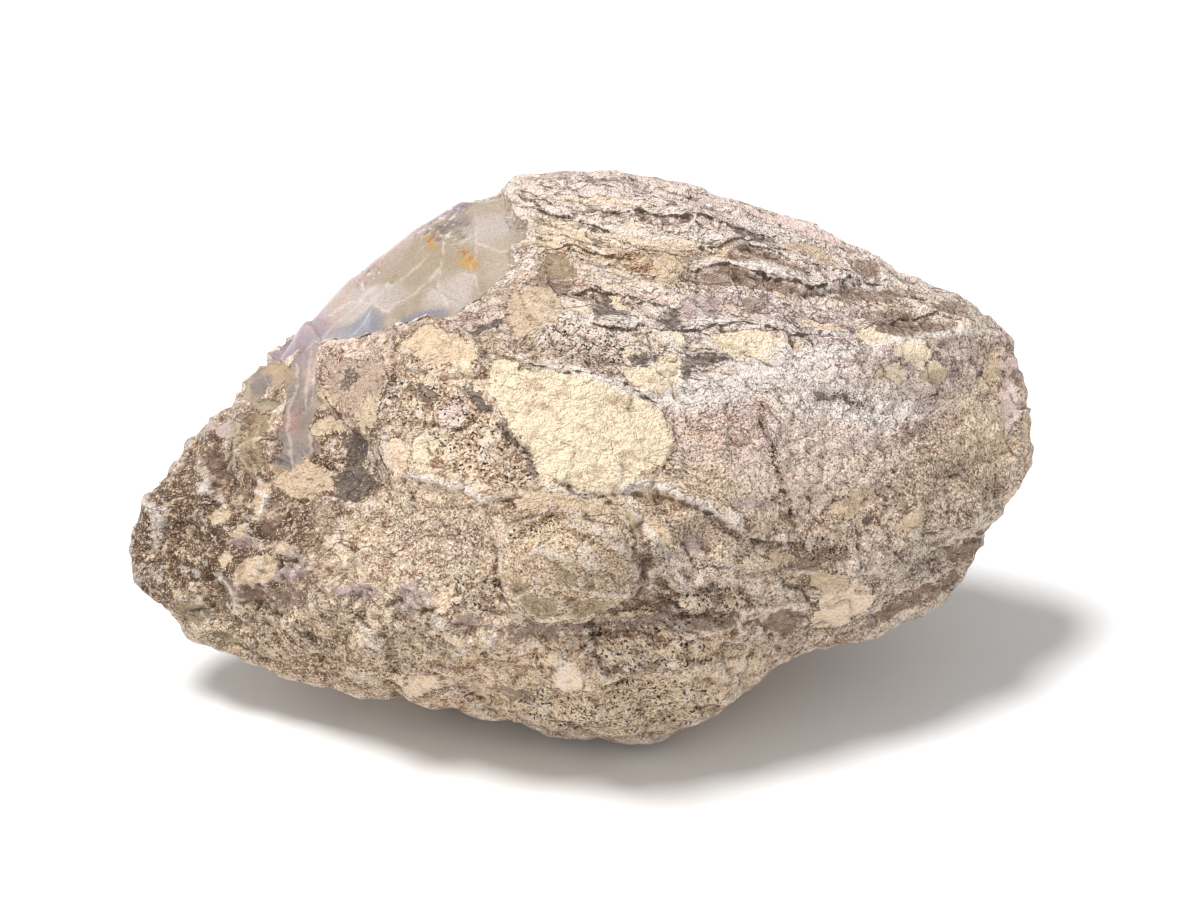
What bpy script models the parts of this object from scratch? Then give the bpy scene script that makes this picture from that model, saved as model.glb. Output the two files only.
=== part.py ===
"""An amethyst agate specimen: a rough lump of pale, layered volcanic rock with a window of agate
at its upper left. Rock and agate grew together, so the stone is one solid.

The front is laid out on a drawing grid, as seen from the display viewpoint: in front of the stone
and a little above it. A point there is a column, a row (rows run down) and a depth in millimetres,
counted from the middle of the stone towards the eye. The back and the underside are laid out in
millimetres from the middle of the stone: x to the right, y away from the eye, z up.
"""

import math

import bmesh
import bpy
import numpy as np
from mathutils import Vector, noise
from mathutils.bvhtree import BVHTree
from mathutils.geometry import delaunay_2d_cdt

MM = 0.001
NAME = "agate_specimen"

# Driving dimensions
STONE_LENGTH = 190 * MM                 # left tip to right edge
GRID_LENGTH = 892                       # the same length in squares of the drawing grid
GRID_MIDDLE = (600, 450)
SQUARE = STONE_LENGTH / GRID_LENGTH
EYE_DISTANCE = 603 * MM
EYE_ELEVATION = math.radians(25)
MIDDLE_PLACE = (2.7 * MM, -1.4 * MM, 52 * MM)  # the grid's middle, from the stone's middle on the ground
CORE = (590, 455, -4)                   # the point that the whole surface is seen from
TRIANGLES = 9000

SIN, COS = math.sin(EYE_ELEVATION), math.cos(EYE_ELEVATION)
VIEW = np.array((0.0, -COS, SIN))       # from the middle of the stone to the eye

# The outline, from the left tip over the top, round the right end and back along the bottom
OUTLINE = (
    (135, 545), (137, 532), (145, 518), (150, 498), (163, 484), (172, 467), (188, 450), (197, 438),
    (208, 426), (222, 419), (236, 407), (244, 395), (248, 380), (255, 372), (270, 371), (271, 358),
    (283, 343), (297, 322), (312, 308), (328, 289), (345, 273), (367, 257), (390, 238), (408, 224),
    (438, 209), (456, 195), (480, 190), (505, 196), (509, 180), (545, 176), (592, 175), (640, 179),
    (683, 185), (697, 195), (735, 206), (763, 217), (800, 226), (821, 235), (832, 244), (852, 252),
    (878, 260), (900, 279), (922, 284), (958, 304), (990, 328), (1002, 341), (1010, 358),
    (1016, 380), (1023, 398), (1030, 435), (1029, 465), (1024, 483), (1003, 507), (985, 529),
    (976, 549), (955, 577), (937, 601), (900, 619), (862, 639), (845, 641), (810, 652), (773, 666),
    (748, 692), (716, 712), (702, 722), (660, 736), (632, 741), (600, 739), (553, 728), (530, 716),
    (487, 713), (470, 708), (440, 706), (400, 697), (370, 692), (335, 692), (292, 681), (265, 667),
    (232, 656), (218, 645), (185, 630), (167, 601), (150, 590), (139, 578),
)
# Depth of the outline at angles round the grid's middle, counted from the right over the top
RIM_DEPTHS = (
    (-180, -6), (-160, 0), (-135, 8), (-110, 14), (-90, 17), (-60, 14), (-35, 2), (-15, -7),
    (0, -12), (25, -14), (50, -17), (80, -20), (100, -21), (120, -18), (140, -16), (160, -12),
    (180, -6),
)
RIM_ROUND = 9 * MM                      # how far the surface rolls over at the outline
RIM_STEPS = (1.2 * MM, 4.2 * MM)        # rings of points inside the outline
RIM_ANGLE = 4                           # degrees between the points of a ring

# Ridges and creases of the front
TOP_RIDGE = (
    (500, 356, 35), (533, 367, 37), (560, 377, 37), (600, 380, 37), (640, 394, 36), (657, 405, 35),
    (680, 402, 34), (700, 398, 33), (730, 383, 30), (770, 372, 27), (810, 363, 23), (850, 355, 18),
    (900, 346, 11), (940, 338, 4), (975, 333, -3),
)
WINDOW_LIP = (
    (300, 362, 1), (322, 343, 7), (345, 341, 10), (365, 335, 12), (385, 327, 13), (410, 322, 15),
    (440, 320, 17), (460, 311, 17), (478, 300, 16), (490, 288, 13), (500, 277, 10), (518, 266, 8),
    (512, 248, 4), (528, 236, 1), (515, 212, -8),
)
PANEL_FOOT = (
    (388, 500, 33), (400, 480, 36), (430, 480, 39), (460, 487, 42), (485, 505, 44), (510, 503, 45),
    (540, 486, 45), (575, 490, 45), (610, 500, 44),
)
NOSE_CROWN = (
    (498, 550, 45), (518, 536, 47), (545, 523, 48), (580, 517, 48), (618, 530, 48), (638, 562, 47),
)
NOSE_CREASE = (
    (500, 585, 43), (518, 603, 43), (545, 617, 42), (580, 611, 43), (640, 609, 42), (668, 612, 40),
)
SHELF_LIP = (
    (625, 487, 43), (660, 494, 42), (700, 508, 41), (735, 525, 39), (760, 529, 36), (790, 540, 33),
    (830, 536, 28), (855, 524, 24),
)
UNDERCUT = (
    (700, 580, 39), (735, 562, 37), (790, 562, 33), (850, 560, 27), (900, 545, 18), (960, 523, 6),
    (1004, 498, -5),
)
LEFT_CRACK = ((385, 352, 21), (386, 385, 26), (382, 430, 30))
FRONT_RIDGES = (TOP_RIDGE, WINDOW_LIP, PANEL_FOOT, NOSE_CROWN, NOSE_CREASE, SHELF_LIP, UNDERCUT, LEFT_CRACK)

# Single points of the front
TOP_SLOPE = (
    (600, 340, 28), (690, 340, 25), (770, 325, 17), (850, 305, 6), (920, 310, -2), (560, 300, 17),
    (640, 290, 13), (720, 280, 8), (800, 265, -1), (575, 240, 3), (660, 230, -1), (740, 235, -6),
    (550, 205, -9), (620, 200, -11), (495, 320, 24),
)
AGATE_FACE = ((330, 310, -2), (370, 290, 2), (430, 285, 7), (470, 250, 1), (420, 240, -5), (480, 215, -9))
PANEL = (
    (545, 430, 42), (620, 440, 41), (668, 458, 39), (590, 465, 44), (490, 400, 39), (440, 360, 31),
    (430, 420, 36), (470, 450, 41), (420, 345, 26),
)
RIGHT_FACE = (
    (720, 440, 37), (780, 430, 31), (780, 490, 34), (850, 400, 20), (850, 470, 24), (910, 400, 12),
    (920, 460, 14), (970, 390, 2), (975, 455, 3), (1005, 420, -5),
)
NOSE = ((560, 548, 50), (595, 552, 51), (570, 580, 51), (610, 585, 50), (530, 572, 49))
LEFT_FACE = (
    (340, 380, 14), (350, 440, 22), (300, 420, 11), (335, 500, 25), (430, 540, 40), (400, 600, 38),
    (460, 580, 43), (470, 640, 40), (340, 580, 29), (370, 650, 30), (280, 480, 13), (290, 540, 20),
    (300, 620, 22), (240, 450, 3), (240, 520, 12), (230, 590, 13), (190, 490, 2), (185, 560, 5),
    (160, 550, 0),
)
FOOT_BAND = (
    (560, 660, 38), (640, 655, 38), (700, 640, 36), (620, 705, 31), (540, 695, 31), (690, 690, 31),
    (450, 680, 31), (760, 610, 32), (820, 605, 24), (880, 590, 15), (930, 560, 6),
)
FRONT_POINTS = TOP_SLOPE + AGATE_FACE + PANEL + RIGHT_FACE + NOSE + LEFT_FACE + FOOT_BAND

# The back, and the underside, which dips a little below the flat spot before that is levelled
SPINE = ((-10, 47, 38), (4, 54, 24), (18, 60, 8), (28, 59, -8), (24, 49, -34))
SHELF = ((-66, 24, -2), (-44, 41, -3), (-20, 51, -7), (4, 54, -10))
SHELF_FOOT = ((-64, 18, -12), (-42, 33, -14), (-18, 43, -18), (4, 47, -22))
BACK_RIDGES = (SPINE, SHELF, SHELF_FOOT)
BACK_POINTS = (
    (-52, 38, 12), (-28, 45, 18), (42, 50, 18), (66, 39, 13), (54, 45, -4), (80, 27, 0),
    (44, 40, -31), (66, 26, -22), (-24, 37, -37), (-44, 25, -34), (-66, 10, -29), (60, 5, -33),
    (76, 0, -16), (-70, 2, -30), (-78, 18, -8),
)
UNDERSIDE_POINTS = (
    (-42, 2, -52), (-22, -10, -54), (4, -20, -55), (22, -8, -55), (35, 8, -53), (36, 24, -53),
    (16, 34, -54), (-16, 32, -54), (-38, 22, -53), (0, 6, -57),
)

# Ledges of the layered rock: height and run back from the lip in mm, then the lip from left to right
LEDGES = (
    (1.6, 7, ((520, 205), (555, 218), (595, 230), (620, 238))),
    (1.8, 7, ((580, 218), (640, 220), (700, 233), (755, 246), (775, 243))),
    (1.8, 8, ((535, 258), (575, 250), (605, 260), (655, 256), (690, 262))),
    (2.0, 8, ((685, 252), (745, 260), (805, 277), (860, 274))),
    (2.4, 9, ((680, 283), (700, 278), (760, 283), (800, 295), (860, 282), (890, 286))),
    (1.6, 7, ((560, 298), (600, 300), (640, 303))),
    (1.6, 8, ((575, 325), (600, 335), (665, 335), (740, 328), (775, 338), (850, 335))),
    (1.4, 6, ((860, 330), (900, 322), (940, 318))),
    (2.6, 9, ((400, 480), (430, 480), (460, 487), (485, 505), (510, 503), (540, 485))),
    (2.4, 9, ((615, 495), (640, 488), (680, 500), (720, 510), (745, 535), (790, 540), (850, 525))),
    (2.6, 10, ((860, 560), (900, 540), (940, 528), (975, 515), (1000, 500))),
    (2.2, 8, ((845, 620), (850, 610), (865, 600), (890, 582), (930, 566))),
    (2.0, 9, ((340, 420), (358, 435), (378, 448))),
    (1.4, 6, ((470, 655), (520, 650), (560, 655))),
    (1.4, 6, ((600, 672), (650, 665), (700, 668))),
)
# Rounded lumps and scooped hollows: column, row, radius in mm, height in mm
LUMPS = (
    (430, 357, 9, 1.2), (575, 560, 11, 0.8), (265, 572, 5, 2.0), (221, 517, 3, 1.2),
    (249, 532, 3, 1.2), (297, 550, 3, 1.2), (568, 668, 5, 1.4), (422, 675, 5, 1.4),
    (612, 450, 11, 1.0), (665, 276, 3, 1.0), (500, 248, 4, 1.0), (905, 360, 6, 0.8),
    (840, 605, 8, 1.4), (385, 640, 6, 1.5), (330, 610, 5, 1.2), (208, 430, 3, 1.2),
    (205, 470, 8, -2.2), (190, 545, 7, -2.2), (230, 490, 7, -1.8), (300, 585, 6, -1.6),
    (215, 610, 6, -2.0), (265, 625, 5, -1.4), (360, 470, 8, -1.8), (350, 615, 5, -1.6),
    (440, 430, 9, -1.6), (520, 465, 6, -1.4), (700, 360, 9, -1.0), (790, 505, 7, -1.2),
    (700, 545, 6, -1.6), (660, 585, 6, -1.4), (930, 400, 8, -0.8), (740, 640, 7, -1.6),
)
# The agate window: the rock's lip stands proud of the agate, which runs on over the top
WINDOW = (
    (255, 380), (270, 368), (300, 358), (322, 343), (345, 341), (365, 335), (385, 327), (410, 322),
    (440, 320), (460, 311), (478, 300), (490, 288), (500, 277), (518, 266), (510, 248), (528, 238),
    (528, 228), (515, 212), (505, 196), (480, 160), (300, 240),
)
WINDOW_DROP = 1.6 * MM
LAYER_TILT = Vector((0.12, -0.30, 0.95)).normalized()      # across the layers of the rock
LAYER_GAP = 8 * MM
LAYER_STEP = 1.8 * MM


def from_grid(column, row, depth):
    """The place of a point of the drawing grid, from the middle of the stone."""
    reach = SQUARE * (1 - depth * MM / EYE_DISTANCE)
    across, up = (column - GRID_MIDDLE[0]) * reach, (GRID_MIDDLE[1] - row) * reach
    return Vector((across, up * SIN - depth * MM * COS, up * COS + depth * MM * SIN))


def to_grid(points):
    """Columns and rows of the places in an (n, 3) array."""
    depth = points @ VIEW
    reach = SQUARE * (1 - depth / EYE_DISTANCE)
    up = points[:, 1] * SIN + points[:, 2] * COS
    return np.stack((GRID_MIDDLE[0] + points[:, 0] / reach, GRID_MIDDLE[1] - up / reach), axis=1)


def rim_depth(column, row):
    angle = math.degrees(math.atan2(GRID_MIDDLE[1] - row, column - GRID_MIDDLE[0]))
    return float(np.interp(angle, *zip(*RIM_DEPTHS)))


def rim_rings(side):
    """Points just inside the outline, rolling over towards the eye (side 1) or away (side -1)."""
    loop = np.array(OUTLINE + OUTLINE[:1], float) - GRID_MIDDLE
    angles = np.unwrap(np.arctan2(-loop[:, 1], loop[:, 0]))
    reaches = np.hypot(*loop.T)
    order = np.argsort(angles)
    points = []
    for inset in RIM_STEPS:
        roll = math.sqrt(2 * RIM_ROUND * inset - inset * inset) / MM
        for degree in range(0, 360, RIM_ANGLE):
            angle = math.radians(degree)
            reach = np.interp(angle, angles[order], reaches[order], period=math.tau) - inset / SQUARE
            column = GRID_MIDDLE[0] + reach * math.cos(angle)
            row = GRID_MIDDLE[1] - reach * math.sin(angle)
            points.append((column, row, rim_depth(column, row) + side * roll))
    return points


def sheet(ridges, points):
    """One sheet of triangles inside the outline, with an edge along every ridge."""
    spots = [(c, r, rim_depth(c, r)) for c, r in OUTLINE]
    edges = [(i, (i + 1) % len(OUTLINE)) for i in range(len(OUTLINE))]
    for ridge in ridges:
        edges += [(len(spots) + i, len(spots) + i + 1) for i in range(len(ridge) - 1)]
        spots += ridge
    spots += points
    flat = [Vector((c, -r)) for c, r, _ in spots]
    rim = list(range(len(OUTLINE)))[::-1]
    found = delaunay_2d_cdt(flat, edges, [rim], 1, 1e-3)
    depths = [spots[ids[0]][2] if ids else 0.0 for ids in found[3]]
    places = [from_grid(v.x, -v.y, d) for v, d in zip(found[0], depths)]
    return places, [list(face) for face in found[2]]


def grid_points(points):
    """Columns, rows and depths of points given in millimetres from the middle of the stone."""
    places = np.array(points) * MM
    return [(c, r, d / MM) for (c, r), d in zip(to_grid(places), places @ VIEW)]


def cage():
    """The coarse form: a front and a back sheet that meet along the outline."""
    front_places, front_faces = sheet(FRONT_RIDGES, list(FRONT_POINTS) + rim_rings(1))
    back_ridges = [grid_points(ridge) for ridge in BACK_RIDGES]
    back_points = grid_points(BACK_POINTS + UNDERSIDE_POINTS)
    back_places, back_faces = sheet(back_ridges, back_points + rim_rings(-1))
    offset = len(front_places)
    faces = front_faces + [[i + offset for i in face[::-1]] for face in back_faces]
    return BVHTree.FromPolygons(front_places + back_places, faces)


def evened(points, edges, rounds, share):
    """The points, each drawn towards its neighbours."""
    count = np.bincount(edges.ravel(), minlength=len(points))[:, None]
    for _ in range(rounds):
        total = np.zeros_like(points)
        np.add.at(total, edges[:, 0], points[edges[:, 1]])
        np.add.at(total, edges[:, 1], points[edges[:, 0]])
        points = points + share * (total / count - points)
    return points


def coarse_form():
    """A closed ball of triangles, each corner moved out to the cage and the ridges rounded."""
    ball = bmesh.new()
    bmesh.ops.create_icosphere(ball, subdivisions=7, radius=1)
    tree, core = cage(), from_grid(*CORE)
    for corner in ball.verts:
        ray = Vector((corner.co.x * 95, corner.co.y * 56, corner.co.z * 49)).normalized()
        place = tree.ray_cast(core, ray)[0]
        corner.co = place if place else core
    mesh = bpy.data.meshes.new(NAME)
    ball.to_mesh(mesh)
    ball.free()
    points, edges = mesh_arrays(mesh)
    set_points(mesh, evened(points, edges, 4, 0.5))
    return mesh


def mesh_arrays(mesh):
    points = np.empty(len(mesh.vertices) * 3, np.float32)
    edges = np.empty(len(mesh.edges) * 2, np.int32)
    mesh.vertices.foreach_get("co", points)
    mesh.edges.foreach_get("vertices", edges)
    return points.reshape(-1, 3).astype(float), edges.reshape(-1, 2)


def set_points(mesh, points):
    mesh.vertices.foreach_set("co", points.astype(np.float32).ravel())
    mesh.update()


def normals_of(mesh):
    found = np.empty(len(mesh.vertices) * 3, np.float32)
    mesh.vertex_normals.foreach_get("vector", found)
    return found.reshape(-1, 3).astype(float)


def smooth_ramp(value, low, high):
    share = np.clip((value - low) / (high - low), 0, 1)
    return share * share * (3 - 2 * share)


def beside(places, line, closed=False):
    """Distance from a line in squares, positive above it (or inside it when closed), and how far
    along it each nearest point is, from 0 to 1."""
    corners = np.array(line + line[:1] if closed else line, float)
    nearest = np.full(len(places), np.inf)
    signed, along = np.zeros(len(places)), np.zeros(len(places))
    lengths = np.hypot(*np.diff(corners, axis=0).T)
    starts = np.concatenate(((0,), np.cumsum(lengths)))
    for i, (start, end) in enumerate(zip(corners[:-1], corners[1:])):
        step = end - start
        share = np.clip(((places - start) @ step) / (step @ step), 0, 1)
        gap = places - start - share[:, None] * step
        distance = np.hypot(gap[:, 0], gap[:, 1])
        side = np.sign(step[1] * gap[:, 0] - step[0] * gap[:, 1])
        closer = distance < nearest
        nearest[closer] = distance[closer]
        signed[closer] = (distance * side)[closer]
        along[closer] = ((starts[i] + share * lengths[i]) / starts[-1])[closer]
    if closed:
        signed = np.where(inside(places, corners), nearest, -nearest)
    return signed, along


def inside(places, corners):
    """Which places lie inside a closed outline."""
    crossings = np.zeros(len(places), int)
    for (x0, y0), (x1, y1) in zip(corners[:-1], corners[1:]):
        if y0 == y1:
            continue
        spans = (places[:, 1] >= min(y0, y1)) & (places[:, 1] < max(y0, y1))
        crossing = x0 + (places[:, 1] - y0) * (x1 - x0) / (y1 - y0)
        crossings += spans & (crossing > places[:, 0])
    return crossings % 2 == 1


def ledge_rise(places):
    """Each ledge is highest at its lip and sinks back to the slope behind it."""
    rise = np.zeros(len(places))
    for height, run, lip in LEDGES:
        gap, along = beside(places, lip)
        gap = gap * SQUARE
        ends = smooth_ramp(along, 0, 0.3) * smooth_ramp(1 - along, 0, 0.3)
        behind = np.exp(-np.clip(gap, 0, None) / (run * MM)) * smooth_ramp(gap, -0.8 * MM, 0.2 * MM)
        rise += height * MM * ends * behind
    return rise


def lump_rise(places):
    rise = np.zeros(len(places))
    for column, row, radius, height in LUMPS:
        distance = np.hypot(places[:, 0] - column, places[:, 1] - row) * SQUARE / (radius * MM)
        rise += height * MM * np.exp(-distance ** 4 - distance ** 2 / 2)
    return rise


def layer_rise(points):
    """Worn steps of the rock's layers, for the sides away from the eye."""
    rise = np.empty(len(points))
    for i, point in enumerate(points):
        place = Vector(point)
        sway = noise.noise(place / (30 * MM)) * 5 * MM + noise.noise(place / (9 * MM)) * 1.2 * MM
        share = ((place.dot(LAYER_TILT) + sway) / LAYER_GAP) % 1
        strength = 0.35 + 0.65 * max(0.0, noise.noise(place / (22 * MM) + Vector((4, 7, 1))) * 2)
        rise[i] = LAYER_STEP * strength * (1 - share) * min(1.0, share * 8)
    return rise


def rough_rise(points):
    """Broad uneven swells and small knocks, all over."""
    rise = np.empty(len(points))
    for i, point in enumerate(points):
        place = Vector(point)
        rise[i] = (noise.noise(place / (24 * MM)) * 1.0 + noise.noise(place / (8 * MM)) * 0.6) * MM
    return rise


def stone():
    mesh = coarse_form()
    points, _ = mesh_arrays(mesh)
    facing = normals_of(mesh)
    towards = facing @ VIEW
    places = to_grid(points)
    front = smooth_ramp(towards, 0.0, 0.3)
    window, _ = beside(places, WINDOW, closed=True)
    agate = smooth_ramp(window * SQUARE, -0.3 * MM, 1.0 * MM) * smooth_ramp(towards, -0.5, -0.2)
    rise = front * (ledge_rise(places) + lump_rise(places)) + (1 - front) * layer_rise(points)
    rise = (rise + rough_rise(points)) * (1 - 0.85 * agate) - WINDOW_DROP * agate
    points = points + facing * rise[:, None]
    points = points + MIDDLE_PLACE
    points[:, 2] = np.maximum(points[:, 2], 0.0)
    set_points(mesh, points)
    return mesh


def stone_material():
    material = bpy.data.materials.new("pale rock")
    material.use_nodes = True
    surface = material.node_tree.nodes["Principled BSDF"]
    surface.inputs["Base Color"].default_value = (0.62, 0.54, 0.42, 1)
    surface.inputs["Roughness"].default_value = 0.85
    surface.inputs["Metallic"].default_value = 0.0
    return material


def main():
    for item in list(bpy.data.objects):
        bpy.data.objects.remove(item, do_unlink=True)
    mesh = stone()
    mesh.materials.append(stone_material())
    specimen = bpy.data.objects.new(NAME, mesh)
    bpy.context.scene.collection.objects.link(specimen)
    fewer = specimen.modifiers.new("fewer triangles", "DECIMATE")
    fewer.ratio = TRIANGLES / len(mesh.polygons)


main()
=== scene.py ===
"""The looks of the amethyst agate specimen: a rough lump of pale, layered volcanic rock with a
window of milky agate at its upper left.

The stone is one mesh. Its form repeats the CAD solid's: a front laid out on a drawing grid, as seen
from the display viewpoint, and a back laid out in millimetres. It is sampled much finer here, and
takes the small relief, then each corner gets the colours and strengths that the material reads.

A point of the grid is a column, a row (rows run down) and a depth in millimetres, counted from the
middle of the stone towards the eye.
"""

import math

import bmesh
import bpy
import numpy as np
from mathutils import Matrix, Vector, noise
from mathutils.bvhtree import BVHTree
from mathutils.geometry import delaunay_2d_cdt

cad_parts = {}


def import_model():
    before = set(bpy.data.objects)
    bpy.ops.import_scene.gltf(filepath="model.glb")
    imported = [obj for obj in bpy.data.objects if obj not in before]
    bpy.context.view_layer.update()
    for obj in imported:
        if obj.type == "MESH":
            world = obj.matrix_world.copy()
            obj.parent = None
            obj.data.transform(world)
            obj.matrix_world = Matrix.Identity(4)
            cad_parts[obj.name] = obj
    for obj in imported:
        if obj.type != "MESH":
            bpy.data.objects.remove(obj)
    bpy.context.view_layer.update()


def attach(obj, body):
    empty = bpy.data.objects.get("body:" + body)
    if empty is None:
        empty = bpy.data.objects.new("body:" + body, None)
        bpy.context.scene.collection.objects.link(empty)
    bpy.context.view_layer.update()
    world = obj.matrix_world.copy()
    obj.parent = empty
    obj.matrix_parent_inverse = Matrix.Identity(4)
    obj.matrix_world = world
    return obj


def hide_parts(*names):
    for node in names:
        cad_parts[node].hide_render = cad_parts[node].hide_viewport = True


MM = 0.001
NAME = "agate_stone"
NODE = "agate_specimen"

# Driving dimensions
STONE_LENGTH = 190 * MM                 # left tip to right edge
GRID_LENGTH = 892                       # the same length in squares of the drawing grid
GRID_MIDDLE = (600, 450)
SQUARE = STONE_LENGTH / GRID_LENGTH
EYE_DISTANCE = 603 * MM
EYE_ELEVATION = math.radians(25)
MIDDLE_PLACE = (2.7 * MM, -1.4 * MM, 52 * MM)  # the grid's middle, from the stone's middle on the ground
CORE = (590, 455, -4)                   # the point that the whole surface is seen from

SIN, COS = math.sin(EYE_ELEVATION), math.cos(EYE_ELEVATION)
VIEW = np.array((0.0, -COS, SIN))       # from the middle of the stone to the eye

# The outline, from the left tip over the top, round the right end and back along the bottom
OUTLINE = (
    (135, 545), (137, 532), (145, 518), (150, 498), (163, 484), (172, 467), (188, 450), (197, 438),
    (208, 426), (222, 419), (236, 407), (244, 395), (248, 380), (255, 372), (270, 371), (271, 358),
    (283, 343), (297, 322), (312, 308), (328, 289), (345, 273), (367, 257), (390, 238), (408, 224),
    (438, 209), (456, 195), (480, 190), (505, 196), (509, 180), (545, 176), (592, 175), (640, 179),
    (683, 185), (697, 195), (735, 206), (763, 217), (800, 226), (821, 235), (832, 244), (852, 252),
    (878, 260), (900, 279), (922, 284), (958, 304), (990, 328), (1002, 341), (1010, 358), (1016, 380),
    (1023, 398), (1030, 435), (1029, 465), (1024, 483), (1003, 507), (985, 529), (976, 549), (955, 577),
    (937, 601), (900, 619), (862, 639), (845, 641), (810, 652), (773, 666), (748, 692), (716, 712),
    (702, 722), (660, 736), (632, 741), (600, 739), (553, 728), (530, 716), (487, 713), (470, 708),
    (440, 706), (400, 697), (370, 692), (335, 692), (292, 681), (265, 667), (232, 656), (218, 645),
    (185, 630), (167, 601), (150, 590), (139, 578),
)
# Depth of the outline at angles round the grid's middle, counted from the right over the top
RIM_DEPTHS = (
    (-180, -6), (-160, 0), (-135, 8), (-110, 14), (-90, 17), (-60, 14), (-35, 2), (-15, -7), (0, -12),
    (25, -14), (50, -17), (80, -20), (100, -21), (120, -18), (140, -16), (160, -12), (180, -6),
)
RIM_ROUND = 9 * MM                      # how far the surface rolls over at the outline
RIM_STEPS = (1.2 * MM, 4.2 * MM)        # rings of points inside the outline
RIM_ANGLE = 4                           # degrees between the points of a ring
BALL_CUTS = 7                           # how finely the ball that becomes the stone is divided
BALL_HALF = (95, 56, 49)                # half sizes of the stone in mm, which spread the ball's rays
COARSE_EVENING = (4, 0.5)               # how often the corners are evened out, and by what share

# Ridges and creases of the front
TOP_RIDGE = (
    (500, 356, 35), (533, 367, 37), (560, 377, 37), (600, 380, 37), (640, 394, 36), (657, 405, 35),
    (680, 402, 34), (700, 398, 33), (730, 383, 30), (770, 372, 27), (810, 363, 23), (850, 355, 18),
    (900, 346, 11), (940, 338, 4), (975, 333, -3),
)
WINDOW_LIP = (
    (300, 362, 1), (322, 343, 7), (345, 341, 10), (365, 335, 12), (385, 327, 13), (410, 322, 15),
    (440, 320, 17), (460, 311, 17), (478, 300, 16), (490, 288, 13), (500, 277, 10), (518, 266, 8),
    (512, 248, 4), (528, 236, 1), (515, 212, -8),
)
PANEL_FOOT = (
    (388, 500, 33), (400, 480, 36), (430, 480, 39), (460, 487, 42), (485, 505, 44), (510, 503, 45),
    (540, 486, 45), (575, 490, 45), (610, 500, 44),
)
NOSE_CROWN = (
    (498, 550, 45), (518, 536, 47), (545, 523, 48), (580, 517, 48), (618, 530, 48), (638, 562, 47),
)
NOSE_CREASE = (
    (500, 585, 43), (518, 603, 43), (545, 617, 42), (580, 611, 43), (640, 609, 42), (668, 612, 40),
)
SHELF_LIP = (
    (625, 487, 43), (660, 494, 42), (700, 508, 41), (735, 525, 39), (760, 529, 36), (790, 540, 33),
    (830, 536, 28), (855, 524, 24),
)
UNDERCUT = (
    (700, 580, 39), (735, 562, 37), (790, 562, 33), (850, 560, 27), (900, 545, 18), (960, 523, 6),
    (1004, 498, -5),
)
LEFT_CRACK = ((385, 352, 21), (386, 385, 26), (382, 430, 30))
FRONT_RIDGES = (TOP_RIDGE, WINDOW_LIP, PANEL_FOOT, NOSE_CROWN, NOSE_CREASE, SHELF_LIP, UNDERCUT, LEFT_CRACK)

# Single points of the front
TOP_SLOPE = (
    (600, 340, 28), (690, 340, 25), (770, 325, 17), (850, 305, 6), (920, 310, -2), (560, 300, 17),
    (640, 290, 13), (720, 280, 8), (800, 265, -1), (575, 240, 3), (660, 230, -1), (740, 235, -6),
    (550, 205, -9), (620, 200, -11), (495, 320, 24),
)
AGATE_FACE = ((330, 310, -2), (370, 290, 2), (430, 285, 7), (470, 250, 1), (420, 240, -5), (480, 215, -9))
PANEL = (
    (545, 430, 42), (620, 440, 41), (668, 458, 39), (590, 465, 44), (490, 400, 39), (440, 360, 31),
    (430, 420, 36), (470, 450, 41), (420, 345, 26),
)
RIGHT_FACE = (
    (720, 440, 37), (780, 430, 31), (780, 490, 34), (850, 400, 20), (850, 470, 24), (910, 400, 12),
    (920, 460, 14), (970, 390, 2), (975, 455, 3), (1005, 420, -5),
)
NOSE = ((560, 548, 51), (595, 552, 51), (570, 580, 49), (610, 585, 48), (530, 572, 48))
LEFT_FACE = (
    (340, 380, 14), (350, 440, 22), (300, 420, 11), (335, 500, 25), (430, 540, 40), (400, 600, 38),
    (460, 580, 43), (470, 640, 40), (340, 580, 29), (370, 650, 30), (280, 480, 13), (290, 540, 20),
    (300, 620, 22), (240, 450, 3), (240, 520, 12), (230, 590, 13), (190, 490, 2), (185, 560, 5),
    (160, 550, 0),
)
FOOT_BAND = (
    (560, 660, 38), (640, 655, 38), (700, 640, 36), (620, 705, 31), (540, 695, 31), (690, 690, 31),
    (450, 680, 31), (760, 610, 32), (820, 605, 24), (880, 590, 15), (930, 560, 6),
)
FRONT_POINTS = TOP_SLOPE + AGATE_FACE + PANEL + RIGHT_FACE + NOSE + LEFT_FACE + FOOT_BAND

# The back, and the underside, which dips a little below the flat spot before that is levelled
SPINE = ((-10, 47, 38), (4, 54, 24), (18, 60, 8), (28, 59, -8), (24, 49, -34))
SHELF = ((-66, 24, -2), (-44, 41, -3), (-20, 51, -7), (4, 54, -10))
SHELF_FOOT = ((-64, 18, -12), (-42, 33, -14), (-18, 43, -18), (4, 47, -22))
BACK_RIDGES = (SPINE, SHELF, SHELF_FOOT)
BACK_POINTS = (
    (-52, 38, 12), (-28, 45, 18), (42, 50, 18), (66, 39, 13), (54, 45, -4), (80, 27, 0), (44, 40, -31),
    (66, 26, -22), (-24, 37, -37), (-44, 25, -34), (-66, 10, -29), (60, 5, -33), (76, 0, -16),
    (-70, 2, -30), (-78, 18, -8),
)
UNDERSIDE_POINTS = (
    (-42, 2, -52), (-22, -10, -54), (4, -20, -55), (22, -8, -55), (35, 8, -53), (36, 24, -53),
    (16, 34, -54), (-16, 32, -54), (-38, 22, -53), (0, 6, -57),
)

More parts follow.
